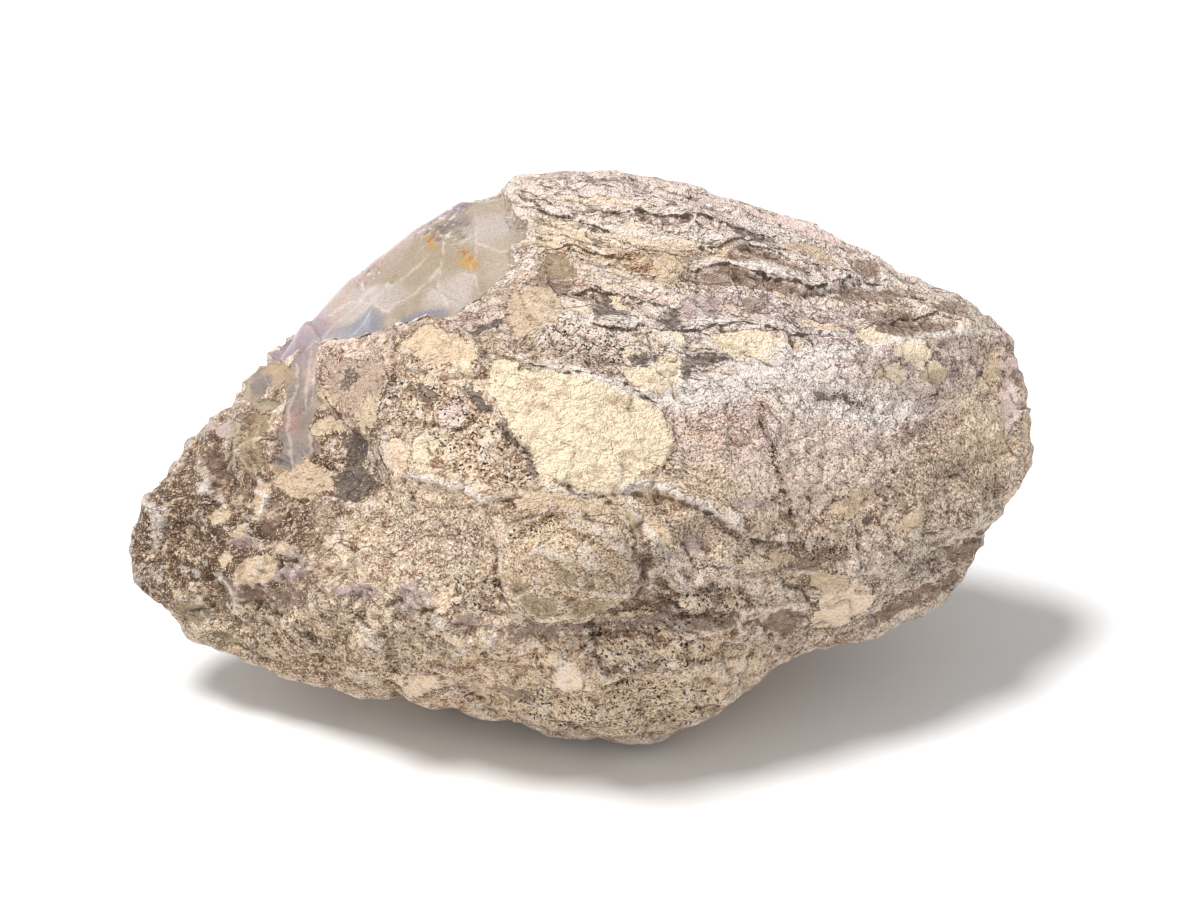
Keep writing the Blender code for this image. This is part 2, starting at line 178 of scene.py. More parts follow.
# Ledges of the layered rock: height and run back from the lip in mm, then the lip from left to right
TOP_LEDGES = (
    (1.0, 7, ((520, 205), (555, 218), (595, 230), (620, 238))),
    (1.1, 7, ((580, 218), (640, 220), (700, 233), (755, 246), (775, 243))),
    (1.0, 8, ((535, 258), (575, 250), (605, 260), (655, 256), (690, 262))),
    (1.3, 8, ((685, 252), (745, 260), (805, 277), (860, 274))),
    (1.8, 12, ((680, 283), (700, 278), (760, 283), (800, 295), (860, 282), (890, 286))),
    (0.8, 7, ((560, 298), (600, 300), (640, 303))),
    (0.9, 8, ((575, 325), (600, 335), (665, 335), (740, 328), (775, 338), (850, 335))),
    (0.8, 6, ((860, 330), (900, 322), (940, 318))),
)
LEDGES = TOP_LEDGES + (
    (1.5, 8, ((389, 492), (407, 474), (436, 483), (465, 489), (486, 504), (520, 498), (540, 484))),
    (1.9, 12, (
        (612, 497), (640, 489), (672, 495), (697, 508), (724, 518), (745, 535), (790, 540), (850, 525))),
    (2.0, 12, ((860, 560), (900, 540), (940, 528), (975, 515), (1000, 500))),
    (1.6, 9, ((845, 620), (850, 610), (865, 600), (890, 582), (930, 566))),
    (1.4, 9, ((340, 418), (358, 430), (380, 445))),
    (1.2, 7, ((470, 655), (520, 650), (560, 655))),
    (1.2, 7, ((600, 672), (650, 665), (700, 668))),
    (1.0, 7, ((640, 608), (690, 606), (740, 610), (790, 600))),
    (1.0, 7, ((420, 628), (460, 620), (500, 627))),
    (0.9, 6, ((700, 560), (740, 566), (780, 560))),
    (1.3, 6, ((640, 640), (700, 634), (760, 640), (820, 630))),
    (1.2, 6, ((470, 700), (540, 706), (620, 712))),
    (1.0, 4, ((512, 562), (545, 552), (580, 556), (612, 572))),
    (0.9, 4, ((525, 590), (562, 578), (598, 584), (632, 592))),
    (0.8, 4, ((555, 536), (588, 540), (622, 556))),
)
# Blocks that stand out from the rock: height in mm, half width of their edge in mm, and outline
BLOCKS = (
    (0.8, 0.6, (
        (488, 367), (515, 359), (565, 367), (622, 384), (664, 417), (674, 446), (664, 466), (651, 487),
        (614, 495), (589, 495), (556, 483), (540, 475), (531, 458), (503, 425), (488, 392))),
    (2.2, 1.6, (
        (503, 537), (519, 528), (548, 520), (565, 516), (590, 528), (614, 537), (631, 561), (639, 582),
        (631, 595), (606, 603), (581, 615), (548, 615), (532, 615), (515, 599), (503, 574))),
    (1.3, 0.8, ((403, 345), (430, 338), (470, 340), (486, 362), (480, 378), (440, 380), (415, 374))),
    (1.0, 0.6, ((325, 345), (388, 338), (396, 380), (385, 425), (379, 442), (345, 413), (322, 400))),
    (0.8, 0.4, ((436, 405), (450, 400), (465, 408), (466, 424), (448, 428), (437, 420))),
    (0.9, 0.7, ((490, 500), (540, 492), (600, 502), (640, 520), (620, 532), (560, 512), (510, 524))),
    (1.0, 0.7, ((640, 520), (690, 512), (735, 540), (720, 575), (680, 590), (650, 570))),
    (0.9, 0.6, ((391, 578), (420, 574), (436, 590), (430, 609), (405, 611))),
    (1.0, 0.6, ((300, 505), (350, 500), (380, 520), (372, 560), (330, 572), (300, 550))),
    (1.1, 0.7, ((390, 620), (440, 612), (470, 640), (450, 670), (405, 668))),
    (1.1, 0.7, ((560, 640), (620, 632), (650, 660), (600, 684), (560, 672))),
    (1.2, 0.7, ((690, 640), (760, 628), (780, 655), (730, 680), (690, 668))),
    (0.8, 0.6, ((700, 385), (780, 376), (800, 400), (770, 450), (720, 440), (690, 410))),
    (0.7, 0.5, ((800, 440), (870, 430), (880, 470), (830, 500), (795, 480))),
    (0.7, 0.5, ((900, 480), (970, 470), (990, 500), (940, 530), (900, 520))),
    (0.8, 0.6, ((870, 350), (930, 345), (980, 370), (960, 395), (890, 388))),
    (0.9, 0.6, ((520, 290), (560, 280), (600, 292), (590, 322), (540, 330))),
    (0.7, 0.5, ((700, 334), (780, 332), (790, 362), (720, 372))),
    (0.7, 0.5, ((600, 368), (680, 366), (720, 392), (640, 398))),
    (0.8, 0.6, ((240, 400), (280, 408), (290, 470), (262, 490), (240, 450))),
    (1.0, 0.6, ((170, 520), (210, 512), (225, 550), (200, 580), (165, 560))),
)
# Rounded lumps and scooped hollows: column, row, radius in mm, height in mm
LUMPS = (
    (430, 357, 9, 1.2), (575, 560, 11, 0.8), (265, 572, 5, 2.0), (221, 517, 3, 1.2), (249, 532, 3, 1.2),
    (297, 550, 3, 1.2), (568, 668, 5, 1.4), (422, 675, 5, 1.4), (612, 450, 11, 1.0), (665, 276, 3, 1.0),
    (500, 248, 4, 1.0), (905, 360, 6, 0.8), (840, 605, 8, 1.4), (385, 640, 6, 1.5), (330, 610, 5, 1.2),
    (208, 430, 3, 1.2), (205, 470, 8, -2.2), (190, 545, 7, -2.2), (230, 490, 7, -1.8),
    (300, 585, 6, -1.6), (215, 610, 6, -2.0), (265, 625, 5, -1.4), (360, 470, 8, -1.8),
    (350, 615, 5, -1.6), (440, 430, 9, -1.6), (520, 465, 6, -1.4), (700, 360, 9, -1.0),
    (790, 505, 7, -1.2), (700, 545, 6, -1.6), (660, 585, 6, -1.4), (930, 400, 8, -0.8),
    (740, 640, 7, -1.6),
)
# The agate window: the rock's lip stands proud of the agate, which runs on over the top
WINDOW = (
    (215, 400), (262, 372), (290, 360), (322, 343), (345, 341), (365, 335), (385, 327), (410, 322),
    (440, 320), (460, 311), (478, 300), (490, 288), (500, 277), (518, 266), (510, 248), (528, 238),
    (528, 228), (515, 212), (505, 196), (500, 120), (180, 180),
)
WINDOW_DROP = 1.6 * MM
LAYER_TILT = Vector((0.12, -0.30, 0.95)).normalized()      # across the layers of the rock
LAYER_GAP = 8 * MM
LAYER_STEP = 1.8 * MM
LAYER_SWAYS = ((30, 5), (9, 1.2))       # how the layers wave: size and height of each wave in mm
ROUGH_SWELLS = ((24, 1.0), (8, 0.6))    # broad uneven swells, all over: size and height in mm


def from_grid(column, row, depth):
    """The place of a point of the drawing grid, from the middle of the stone."""
    reach = SQUARE * (1 - depth * MM / EYE_DISTANCE)
    across, up = (column - GRID_MIDDLE[0]) * reach, (GRID_MIDDLE[1] - row) * reach
    return Vector((across, up * SIN - depth * MM * COS, up * COS + depth * MM * SIN))


def to_grid(points):
    """Columns and rows of the places in an (n, 3) array."""
    depth = points @ VIEW
    reach = SQUARE * (1 - depth / EYE_DISTANCE)
    up = points[:, 1] * SIN + points[:, 2] * COS
    return np.stack((GRID_MIDDLE[0] + points[:, 0] / reach, GRID_MIDDLE[1] - up / reach), axis=1)


def rim_depth(column, row):
    angle = math.degrees(math.atan2(GRID_MIDDLE[1] - row, column - GRID_MIDDLE[0]))
    return float(np.interp(angle, *zip(*RIM_DEPTHS)))


def rim_rings(side):
    """Points just inside the outline, rolling over towards the eye (side 1) or away (side -1)."""
    loop = np.array(OUTLINE + OUTLINE[:1], float) - GRID_MIDDLE
    angles = np.unwrap(np.arctan2(-loop[:, 1], loop[:, 0]))
    reaches = np.hypot(*loop.T)
    order = np.argsort(angles)
    points = []
    for inset in RIM_STEPS:
        roll = math.sqrt(2 * RIM_ROUND * inset - inset * inset) / MM
        for degree in range(0, 360, RIM_ANGLE):
            angle = math.radians(degree)
            reach = np.interp(angle, angles[order], reaches[order], period=math.tau) - inset / SQUARE
            column = GRID_MIDDLE[0] + reach * math.cos(angle)
            row = GRID_MIDDLE[1] - reach * math.sin(angle)
            points.append((column, row, rim_depth(column, row) + side * roll))
    return points


def sheet(ridges, points):
    """One sheet of triangles inside the outline, with an edge along every ridge."""
    spots = [(column, row, rim_depth(column, row)) for column, row in OUTLINE]
    edges = [(i, (i + 1) % len(OUTLINE)) for i in range(len(OUTLINE))]
    for ridge in ridges:
        edges += [(len(spots) + i, len(spots) + i + 1) for i in range(len(ridge) - 1)]
        spots += ridge
    spots += points
    flat = [Vector((column, -row)) for column, row, _ in spots]
    rim = list(range(len(OUTLINE)))[::-1]
    found = delaunay_2d_cdt(flat, edges, [rim], 1, 1e-3)
    depths = [spots[ids[0]][2] if ids else 0.0 for ids in found[3]]
    places = [from_grid(spot.x, -spot.y, depth) for spot, depth in zip(found[0], depths)]
    return places, [list(face) for face in found[2]]


def grid_points(points):
    """Columns, rows and depths of points given in millimetres from the middle of the stone."""
    places = np.array(points) * MM
    return [(*spot, depth / MM) for spot, depth in zip(to_grid(places), places @ VIEW)]


def cage():
    """The coarse form: a front and a back sheet that meet along the outline."""
    front_places, front_faces = sheet(FRONT_RIDGES, list(FRONT_POINTS) + rim_rings(1))
    back_ridges = [grid_points(ridge) for ridge in BACK_RIDGES]
    back_points = grid_points(BACK_POINTS + UNDERSIDE_POINTS)
    back_places, back_faces = sheet(back_ridges, back_points + rim_rings(-1))
    offset = len(front_places)
    faces = front_faces + [[i + offset for i in face[::-1]] for face in back_faces]
    return BVHTree.FromPolygons(front_places + back_places, faces)


def evened(points, edges, rounds, share):
    """The points, each drawn towards its neighbours."""
    count = np.bincount(edges.ravel(), minlength=len(points))[:, None]
    for _ in range(rounds):
        total = np.zeros_like(points)
        np.add.at(total, edges[:, 0], points[edges[:, 1]])
        np.add.at(total, edges[:, 1], points[edges[:, 0]])
        points = points + share * (total / count - points)
    return points


def coarse_form():
    """A closed ball of triangles, each corner moved out to the cage and the ridges rounded."""
    ball = bmesh.new()
    bmesh.ops.create_icosphere(ball, subdivisions=BALL_CUTS, radius=1)
    tree, core = cage(), from_grid(*CORE)
    for corner in ball.verts:
        ray = (corner.co * Vector(BALL_HALF)).normalized()
        place = tree.ray_cast(core, ray)[0]
        corner.co = place if place else core
    mesh = bpy.data.meshes.new(NAME)
    ball.to_mesh(mesh)
    ball.free()
    points, edges = mesh_arrays(mesh)
    set_points(mesh, evened(points, edges, *COARSE_EVENING))
    return mesh


def mesh_arrays(mesh):
    points = np.empty(len(mesh.vertices) * 3, np.float32)
    edges = np.empty(len(mesh.edges) * 2, np.int32)
    mesh.vertices.foreach_get("co", points)
    mesh.edges.foreach_get("vertices", edges)
    return points.reshape(-1, 3).astype(float), edges.reshape(-1, 2)


def set_points(mesh, points):
    mesh.vertices.foreach_set("co", points.astype(np.float32).ravel())
    mesh.update()


def normals_of(mesh):
    found = np.empty(len(mesh.vertices) * 3, np.float32)
    mesh.vertex_normals.foreach_get("vector", found)
    return found.reshape(-1, 3).astype(float)


def smooth_ramp(value, low, high):
    share = np.clip((value - low) / (high - low), 0, 1)
    return share * share * (3 - 2 * share)


def beside(places, line, closed=False):
    """Distance from a line in squares, positive above it (or inside it when closed), and how far
    along it each nearest point is, from 0 to 1."""
    corners = np.array(line + line[:1] if closed else line, float)
    nearest = np.full(len(places), np.inf)
    signed, along = np.zeros(len(places)), np.zeros(len(places))
    lengths = np.hypot(*np.diff(corners, axis=0).T)
    starts = np.concatenate(((0,), np.cumsum(lengths)))
    for i, (start, end) in enumerate(zip(corners[:-1], corners[1:])):
        step = end - start
        share = np.clip(((places - start) @ step) / (step @ step), 0, 1)
        gap = places - start - share[:, None] * step
        distance = np.hypot(gap[:, 0], gap[:, 1])
        side = np.sign(step[1] * gap[:, 0] - step[0] * gap[:, 1])
        closer = distance < nearest
        nearest[closer] = distance[closer]
        signed[closer] = (distance * side)[closer]
        along[closer] = ((starts[i] + share * lengths[i]) / starts[-1])[closer]
    if closed:
        signed = np.where(inside(places, corners), nearest, -nearest)
    return signed, along


def inside(places, corners):
    """Which places lie inside a closed outline."""
    crossings = np.zeros(len(places), int)
    for (x0, y0), (x1, y1) in zip(corners[:-1], corners[1:]):
        if y0 == y1:
            continue
        spans = (places[:, 1] >= min(y0, y1)) & (places[:, 1] < max(y0, y1))
        crossing = x0 + (places[:, 1] - y0) * (x1 - x0) / (y1 - y0)
        crossings += spans & (crossing > places[:, 0])
    return crossings % 2 == 1


def ledge_rise(places):
    """Each ledge is highest at its lip and sinks back to the slope behind it."""
    rise = np.zeros(len(places))
    for height, run, lip in LEDGES:
        gap, along = beside(places, lip)
        gap = gap * SQUARE
        ends = smooth_ramp(along, 0, 0.3) * smooth_ramp(1 - along, 0, 0.3)
        behind = np.exp(-np.clip(gap, 0, None) / (run * MM)) * smooth_ramp(gap, -0.8 * MM, 0.2 * MM)
        rise += height * MM * ends * behind
    return rise


def lump_rise(places):
    rise = np.zeros(len(places))
    for column, row, radius, height in LUMPS:
        distance = np.hypot(places[:, 0] - column, places[:, 1] - row) * SQUARE / (radius * MM)
        rise += height * MM * np.exp(-distance ** 4 - distance ** 2 / 2)
    return rise


def layer_rise(points):
    """Worn steps of the rock's layers, for the sides away from the eye."""
    rise = np.empty(len(points))
    for i, point in enumerate(points):
        place = Vector(point)
        sway = sum(noise.noise(place / (size * MM)) * height * MM for size, height in LAYER_SWAYS)
        share = ((place.dot(LAYER_TILT) + sway) / LAYER_GAP) % 1
        strength = 0.35 + 0.65 * max(0.0, noise.noise(place / (22 * MM) + Vector((4, 7, 1))) * 2)
        rise[i] = LAYER_STEP * strength * (1 - share) * min(1.0, share * 8)
    return rise


def rough_rise(points):
    """Broad uneven swells and small knocks, all over."""
    rise = np.empty(len(points))
    for i, point in enumerate(points):
        place = Vector(point)
        rise[i] = sum(noise.noise(place / (size * MM)) * height * MM for size, height in ROUGH_SWELLS)
    return rise


# ---------------------------------------------------------------- colours

PALETTE = {
    "cream": (255, 234, 203), "buff": (252, 226, 197), "tan": (224, 198, 168), "sand": (240, 212, 180),
    "stone": (198, 172, 153), "brown": (154, 128, 110), "loam": (128, 101, 82), "olive": (174, 152, 123),
    "umber": (93, 70, 55), "grey": (163, 139, 126), "slate": (110, 96, 89), "mauve": (198, 173, 169),
    "rose": (243, 217, 207), "pale": (252, 232, 221), "frost": (253, 241, 233), "soot": (46, 36, 31),
    "rust": (146, 100, 46), "amber": (188, 154, 98), "honeydew": (170, 156, 136), "milk": (194, 183, 177),
    "lavender": (172, 155, 162), "ice": (162, 158, 164), "steel": (142, 142, 156), "blush": (190, 170, 163),
    "violet": (154, 140, 150), "plum": (112, 94, 94), "glass": (184, 170, 154), "lens": (166, 136, 130),
    "ochre": (172, 100, 34), "smoke": (140, 128, 122), "matrix": (205, 187, 177),
}


def linear(name):
    """A palette colour as the renderer's linear values."""
    share = np.array(PALETTE[name]) / 255
    return np.where(share <= 0.04045, share / 12.92, ((share + 0.055) / 1.055) ** 2.4)


# Soft zones of the rock's own colour: colour, column, row, half width, half height, slope in degrees
GROUND_ZONES = (
    ("rose", 700, 250, 230, 90, 20), ("rose", 700, 205, 120, 24, 12), ("buff", 600, 245, 80, 22, 15),
    ("mauve", 780, 300, 130, 26, 12), ("grey", 910, 320, 60, 24, 22), ("olive", 720, 372, 60, 12, 0),
    ("pale", 600, 330, 70, 26, 12), ("pale", 735, 387, 66, 10, -14), ("rose", 725, 430, 70, 46, 0),
    ("rose", 865, 378, 90, 24, 8), ("pale", 820, 412, 70, 26, 10), ("rose", 880, 440, 110, 40, -10),
    ("stone", 960, 470, 80, 70, -30), ("rose", 780, 480, 60, 36, 0), ("mauve", 690, 500, 50, 9, 12),
    ("tan", 600, 520, 160, 50, 0), ("tan", 575, 570, 70, 50, 0), ("stone", 700, 560, 90, 50, 0),
    ("sand", 610, 680, 220, 48, 0), ("olive", 950, 560, 90, 40, -30), ("tan", 440, 530, 60, 44, 20),
    ("tan", 420, 570, 90, 30, 0), ("tan", 360, 545, 60, 26, -20), ("brown", 205, 550, 90, 110, 0),
    ("tan", 300, 640, 120, 45, 12), ("tan", 300, 480, 50, 26, 0), ("buff", 460, 410, 60, 44, 30),
    ("buff", 470, 475, 70, 30, 20), ("rose", 350, 380, 40, 40, 0), ("mauve", 482, 320, 20, 32, 60),
    ("mauve", 980, 365, 50, 40, 10), ("rose", 520, 205, 20, 24, 0), ("buff", 990, 420, 40, 40, 0),
    ("frost", 750, 384, 84, 22, -14), ("frost", 855, 404, 70, 26, 4), ("pale", 800, 235, 80, 16, 24),
    ("sand", 630, 252, 70, 24, 14), ("frost", 780, 250, 60, 8, 20), ("pale", 800, 290, 60, 14, 14),
    ("pale", 590, 215, 70, 16, 10), ("loam", 215, 520, 110, 90, 20), ("loam", 330, 470, 50, 40, 0),
    ("tan", 520, 510, 90, 20, 8), ("stone", 720, 362, 90, 10, 0), ("mauve", 850, 345, 60, 14, 10),
    ("grey", 760, 545, 60, 10, -20), ("brown", 660, 600, 26, 14, 0), ("stone", 840, 545, 60, 20, -20),
    ("brown", 930, 575, 60, 14, -32), ("stone", 640, 345, 50, 14, 0),
)
# Soft clouds inside the agate
AGATE_ZONES = (
    ("blush", 335, 288, 90, 17, -42), ("blush", 410, 226, 40, 9, -33), ("milk", 365, 296, 34, 14, -15),
    ("lavender", 300, 335, 34, 20, -45), ("violet", 298, 350, 14, 12, -50),
    ("steel", 350, 322, 36, 11, -12), ("ice", 335, 328, 20, 12, -20), ("steel", 420, 312, 24, 10, -4),
    ("glass", 396, 312, 9, 6, 0), ("milk", 450, 286, 24, 18, -30), ("glass", 492, 206, 28, 18, 0),
    ("milk", 490, 228, 22, 16, 10), ("glass", 500, 262, 24, 26, 10), ("smoke", 450, 226, 22, 7, -25),
    ("violet", 459, 201, 13, 9, -35), ("lavender", 435, 212, 26, 7, -30), ("amber", 464, 256, 7, 14, 0),
    ("amber", 430, 240, 6, 6, 0), ("grey", 522, 250, 12, 8, 0), ("smoke", 304, 400, 20, 50, 10),
    ("blush", 308, 372, 10, 24, 10), ("lens", 299, 435, 9, 22, 8), ("smoke", 296, 455, 20, 20, 0),
    ("olive", 279, 376, 12, 12, 0), ("smoke", 256, 386, 12, 14, 0), ("blush", 229, 432, 14, 10, 0),
    ("blush", 208, 431, 9, 7, 0),
)
# Pale veins inside the agate
AGATE_VEINS = (
    ((385, 306), (405, 290), (430, 272), (440, 258), (443, 240), (436, 226)),
    ((372, 292), (400, 272), (428, 250)), ((440, 258), (434, 280), (446, 304)),
    ((472, 218), (476, 238), (500, 246), (514, 246)), ((476, 238), (470, 262), (478, 290)),
    ((322, 312), (345, 298), (372, 300), (390, 308)), ((365, 262), (372, 270)), ((355, 278), (361, 284)),
    ((396, 234), (418, 226), (440, 216)), ((314, 352), (308, 380), (304, 412)),
    ((320, 356), (315, 384), (312, 400)), ((290, 400), (288, 432), (296, 470)),
    ((312, 424), (309, 450), (298, 478)), ((300, 366), (296, 392), (290, 410)),
)
# Chips of agate that show through the rock lower down: column, row, half width, half height, slope
AGATE_CHIPS = (
    (304, 395, 17, 50, 10), (298, 440, 15, 27, 8), (279, 376, 14, 13, 0), (256, 388, 13, 18, 10),
    (229, 431, 14, 9, -20), (208, 431, 9, 6, 0), (318, 360, 8, 16, 20), (268, 408, 12, 7, 0),
    (288, 465, 10, 6, 20), (234, 452, 4, 16, 5),
)
# Crushed, striated crystal in the agate
AGATE_CRUSHED = (
    (452, 228, 20, 9, -20), (440, 214, 34, 7, -30), (368, 268, 7, 5, -40), (358, 281, 5, 5, 0),
    (520, 215, 16, 14, 0),
)
# Crisp pale patches of each colour: column, row, half width, half height, slope
PALE_PATCHES = {
    "tan": (
        (533, 315, 27, 27, 60), (716, 273, 25, 6, 10), (667, 277, 14, 16, 0), (798, 257, 32, 8, 12),
        (372, 408, 12, 24, 0), (330, 401, 11, 11, 0), (330, 426, 15, 9, 8), (305, 478, 32, 20, 10),
        (220, 516, 9, 9, 0), (248, 533, 10, 6, 0), (295, 549, 9, 7, 0), (266, 571, 21, 15, -5),
        (230, 560, 6, 8, 0), (263, 505, 6, 24, 8), (382, 612, 13, 14, 0), (275, 653, 10, 4, 10),
        (335, 610, 8, 7, 0), (310, 625, 6, 5, 0), (350, 640, 7, 5, 0), (240, 610, 8, 6, 0),
        (640, 607, 34, 4, -3), (830, 580, 20, 14, 0), (690, 650, 16, 9, 0), (500, 650, 12, 6, 0),
        (620, 700, 20, 6, 0), (740, 650, 18, 5, -12), (480, 690, 16, 6, 10), (560, 506, 60, 12, 8),
        (640, 525, 30, 12, 20), (930, 375, 12, 8, 0), (990, 372, 8, 22, 12), (850, 500, 24, 10, -30),
        (900, 520, 20, 8, -30), (780, 560, 20, 8, -10), (730, 600, 16, 6, 0),
    ),
    "buff": (
        (618, 275, 9, 7, 0), (832, 329, 26, 5, 8), (955, 332, 15, 4, -10), (775, 298, 5, 4, 0),
        (735, 377, 54, 6, -6), (650, 241, 66, 8, 14), (570, 238, 30, 5, 20), (720, 262, 50, 3, 12),
        (760, 275, 60, 2, 14), (600, 210, 40, 3, 8), (880, 300, 30, 3, 12), (398, 458, 12, 20, 0),
        (448, 636, 13, 6, 12), (414, 676, 30, 12, 6), (445, 597, 14, 11, 0), (568, 668, 14, 15, 0),
        (556, 650, 10, 6, 0), (682, 600, 12, 7, 0), (838, 602, 36, 15, -38), (672, 642, 16, 5, -6),
    ),
    "cream": (
        (619, 307, 12, 5, 5), (583, 319, 7, 6, 0), (667, 343, 22, 9, 8), (697, 347, 7, 4, 0),
        (742, 348, 38, 14, 8), (762, 360, 24, 8, 8), (796, 348, 10, 9, 0), (880, 340, 28, 9, 18),
        (905, 354, 22, 12, 20), (889, 374, 16, 9, 12), (929, 370, 11, 7, 0), (665, 369, 15, 14, 0),
        (634, 359, 9, 6, 0), (652, 384, 36, 15, 14), (690, 250, 60, 3, 12), (470, 372, 14, 8, 20),
        (427, 450, 13, 12, 0),
    ),
    "olive": ((556, 279, 18, 22, 20), (259, 430, 16, 14, 0), (257, 456, 14, 20, 10)),
    "rose": ((700, 208, 70, 6, 12), (800, 236, 40, 5, 22), (451, 414, 14, 13, 0), (1006, 400, 8, 40, -5)),
    "sand": ((443, 358, 40, 15, 12),),
    "stone": ((360, 385, 26, 34, 80),),
}
# Crisp darker patches; a few are painted shade, marked below
DARK_PATCHES = {
    "tan": (
        (556, 416, 30, 4, 38), (604, 442, 22, 3, 30), (540, 388, 26, 3, 30), (630, 460, 18, 5, 10),
        (585, 470, 16, 4, -10), (520, 404, 14, 3, 50), (610, 400, 20, 3, 20),
    ),
    # the olive patches on the nose are painted shade on its lower side; the two at the lower left are the
    # rock's own colour
    "olive": (
        (536, 588, 26, 9, 30), (600, 596, 34, 5, -4), (560, 560, 20, 3, 30), (600, 570, 20, 3, 30),
        (195, 611, 13, 11, 0), (227, 639, 11, 8, 10), (575, 572, 24, 6, 20),
    ),
    "brown": (
        (646, 575, 4, 22, -8), (757, 270, 48, 7, 14), (755, 289, 76, 9, 6), (870, 295, 42, 7, 4),
        (866, 271, 17, 9, 15), (905, 328, 46, 13, 15), (557, 291, 29, 6, 40), (587, 304, 17, 4, 10),
        (424, 396, 14, 8, 20), (470, 398, 12, 5, 30), (212, 470, 16, 26, 10), (240, 500, 10, 14, 0),
        (280, 520, 14, 16, 0), (300, 600, 30, 10, 0), (250, 590, 24, 8, 10), (700, 620, 50, 8, 0),
        # (910, 598) and (960, 545) on the next line are painted shade under the right overhang
        (780, 620, 24, 10, -10), (910, 598, 64, 7, -30), (960, 545, 34, 8, -32), (640, 590, 20, 8, -30),
        (810, 560, 26, 8, -10), (520, 690, 30, 6, 6), (640, 660, 30, 6, -4),
    ),
    "grey": (
        (618, 220, 36, 3, 8), (567, 221, 22, 3, 10), (708, 234, 40, 3, 11), (578, 187, 36, 4, 0),
        (672, 258, 36, 3, 8), (745, 276, 24, 4, 10), (948, 314, 26, 10, 25), (757, 309, 17, 9, 0),
        (345, 425, 20, 4, 40), (503, 428, 5, 22, -38), (533, 468, 5, 20, -20), (300, 440, 20, 12, 0),
        (660, 620, 60, 8, 0), (560, 626, 50, 6, 0), (830, 398, 26, 5, 8), (470, 620, 26, 6, 0),
    ),
    "slate": (
        (750, 251, 21, 7, 18), (608, 318, 23, 10, 4), (668, 325, 12, 8, 0), (706, 365, 28, 7, 4),
        (640, 361, 13, 5, 10), (686, 372, 7, 12, 0), (352, 450, 14, 18, 20), (352, 482, 19, 22, -8),
        (352, 382, 8, 14, 20), (487, 330, 7, 24, 52), (480, 400, 8, 20, -40), (860, 524, 7, 7, 0),
    ),
    "mauve": (
        (698, 312, 22, 16, 0), (414, 596, 20, 14, 0), (262, 545, 30, 6, 12), (300, 572, 20, 8, -20),
        (360, 590, 24, 9, 8), (690, 545, 16, 10, 0), (740, 505, 24, 5, 12),
    ),
}
CREAM_PANEL = (
    (490, 365), (505, 358), (540, 372), (600, 380), (640, 398), (655, 415), (672, 440), (676, 455),
    (665, 470), (640, 478), (610, 500), (575, 490), (560, 478), (545, 484), (540, 470), (530, 455),
    (510, 438), (500, 410),
)
# Dark cracks and joints, and a painted shadow along the crease under the nose: half width in mm, then the
# line
CRACKS = (
    (0.14, ((385, 350), (388, 365), (394, 385), (386, 410), (381, 430), (383, 460), (388, 500))),
    (0.22, ((915, 400), (928, 397), (942, 393))),
    # painted shadow along the crease under the nose
    (0.22, ((505, 590), (518, 603), (530, 613), (545, 617), (580, 610), (640, 608), (665, 612))),
    (0.20, ((505, 358), (533, 367), (560, 377), (600, 380), (640, 395), (655, 406), (672, 436), (676, 455))),
    (0.18, ((500, 365), (497, 400), (510, 438), (530, 455), (541, 480), (560, 478))),
    (0.20, ((325, 345), (322, 380), (330, 400), (340, 420), (358, 435), (378, 448))),
    (0.16, ((640, 530), (655, 560), (668, 590), (690, 606))),
    (0.18, ((320, 345), (350, 341), (385, 328), (440, 321), (478, 301), (520, 266))),
)
# The top ledges' lips get a thin painted shadow line, drawn with the cracks.
LEDGE_SHADOW_LINE = 0.22                       # half width in mm of the dark line at each top ledge's lip
RUST_VEIN = ((760, 392), (758, 408), (760, 430), (768, 452), (776, 476), (786, 500), (792, 527))
RUST_SPOTS = (
    (758, 408, 5), (774, 470, 6), (431, 235, 3), (461, 247, 5), (469, 256, 3), (538, 531, 8),
    (549, 526, 10), (562, 523, 9), (530, 537, 5), (765, 392, 3), (790, 520, 3), (640, 607, 6),
    (655, 605, 5), (820, 560, 3),
)
SOOT_SPOTS = (
    (552, 524, 10, 4), (540, 528, 6, 3), (647, 557, 9, 3), (643, 604, 14, 3), (835, 396, 8, 3),
    (857, 405, 6, 4), (653, 555, 9, 3), (706, 592, 4, 7), (830, 550, 14, 5), (770, 500, 5, 2),
    (770, 455, 3, 8), (700, 562, 6, 3), (620, 680, 8, 3), (655, 690, 10, 3), (560, 620, 10, 3),
    (600, 624, 14, 3),
)
DOTTED_ZONES = (
    (430, 405, 50, 34, 25), (430, 398, 40, 26, 25), (480, 450, 60, 30, 25), (580, 350, 50, 16, 12),
    (645, 645, 60, 28, 0), (545, 530, 30, 10, -10), (700, 600, 40, 20, 0), (480, 590, 30, 20, 0),
    (620, 700, 100, 25, 0), (820, 548, 30, 12, 0),
)
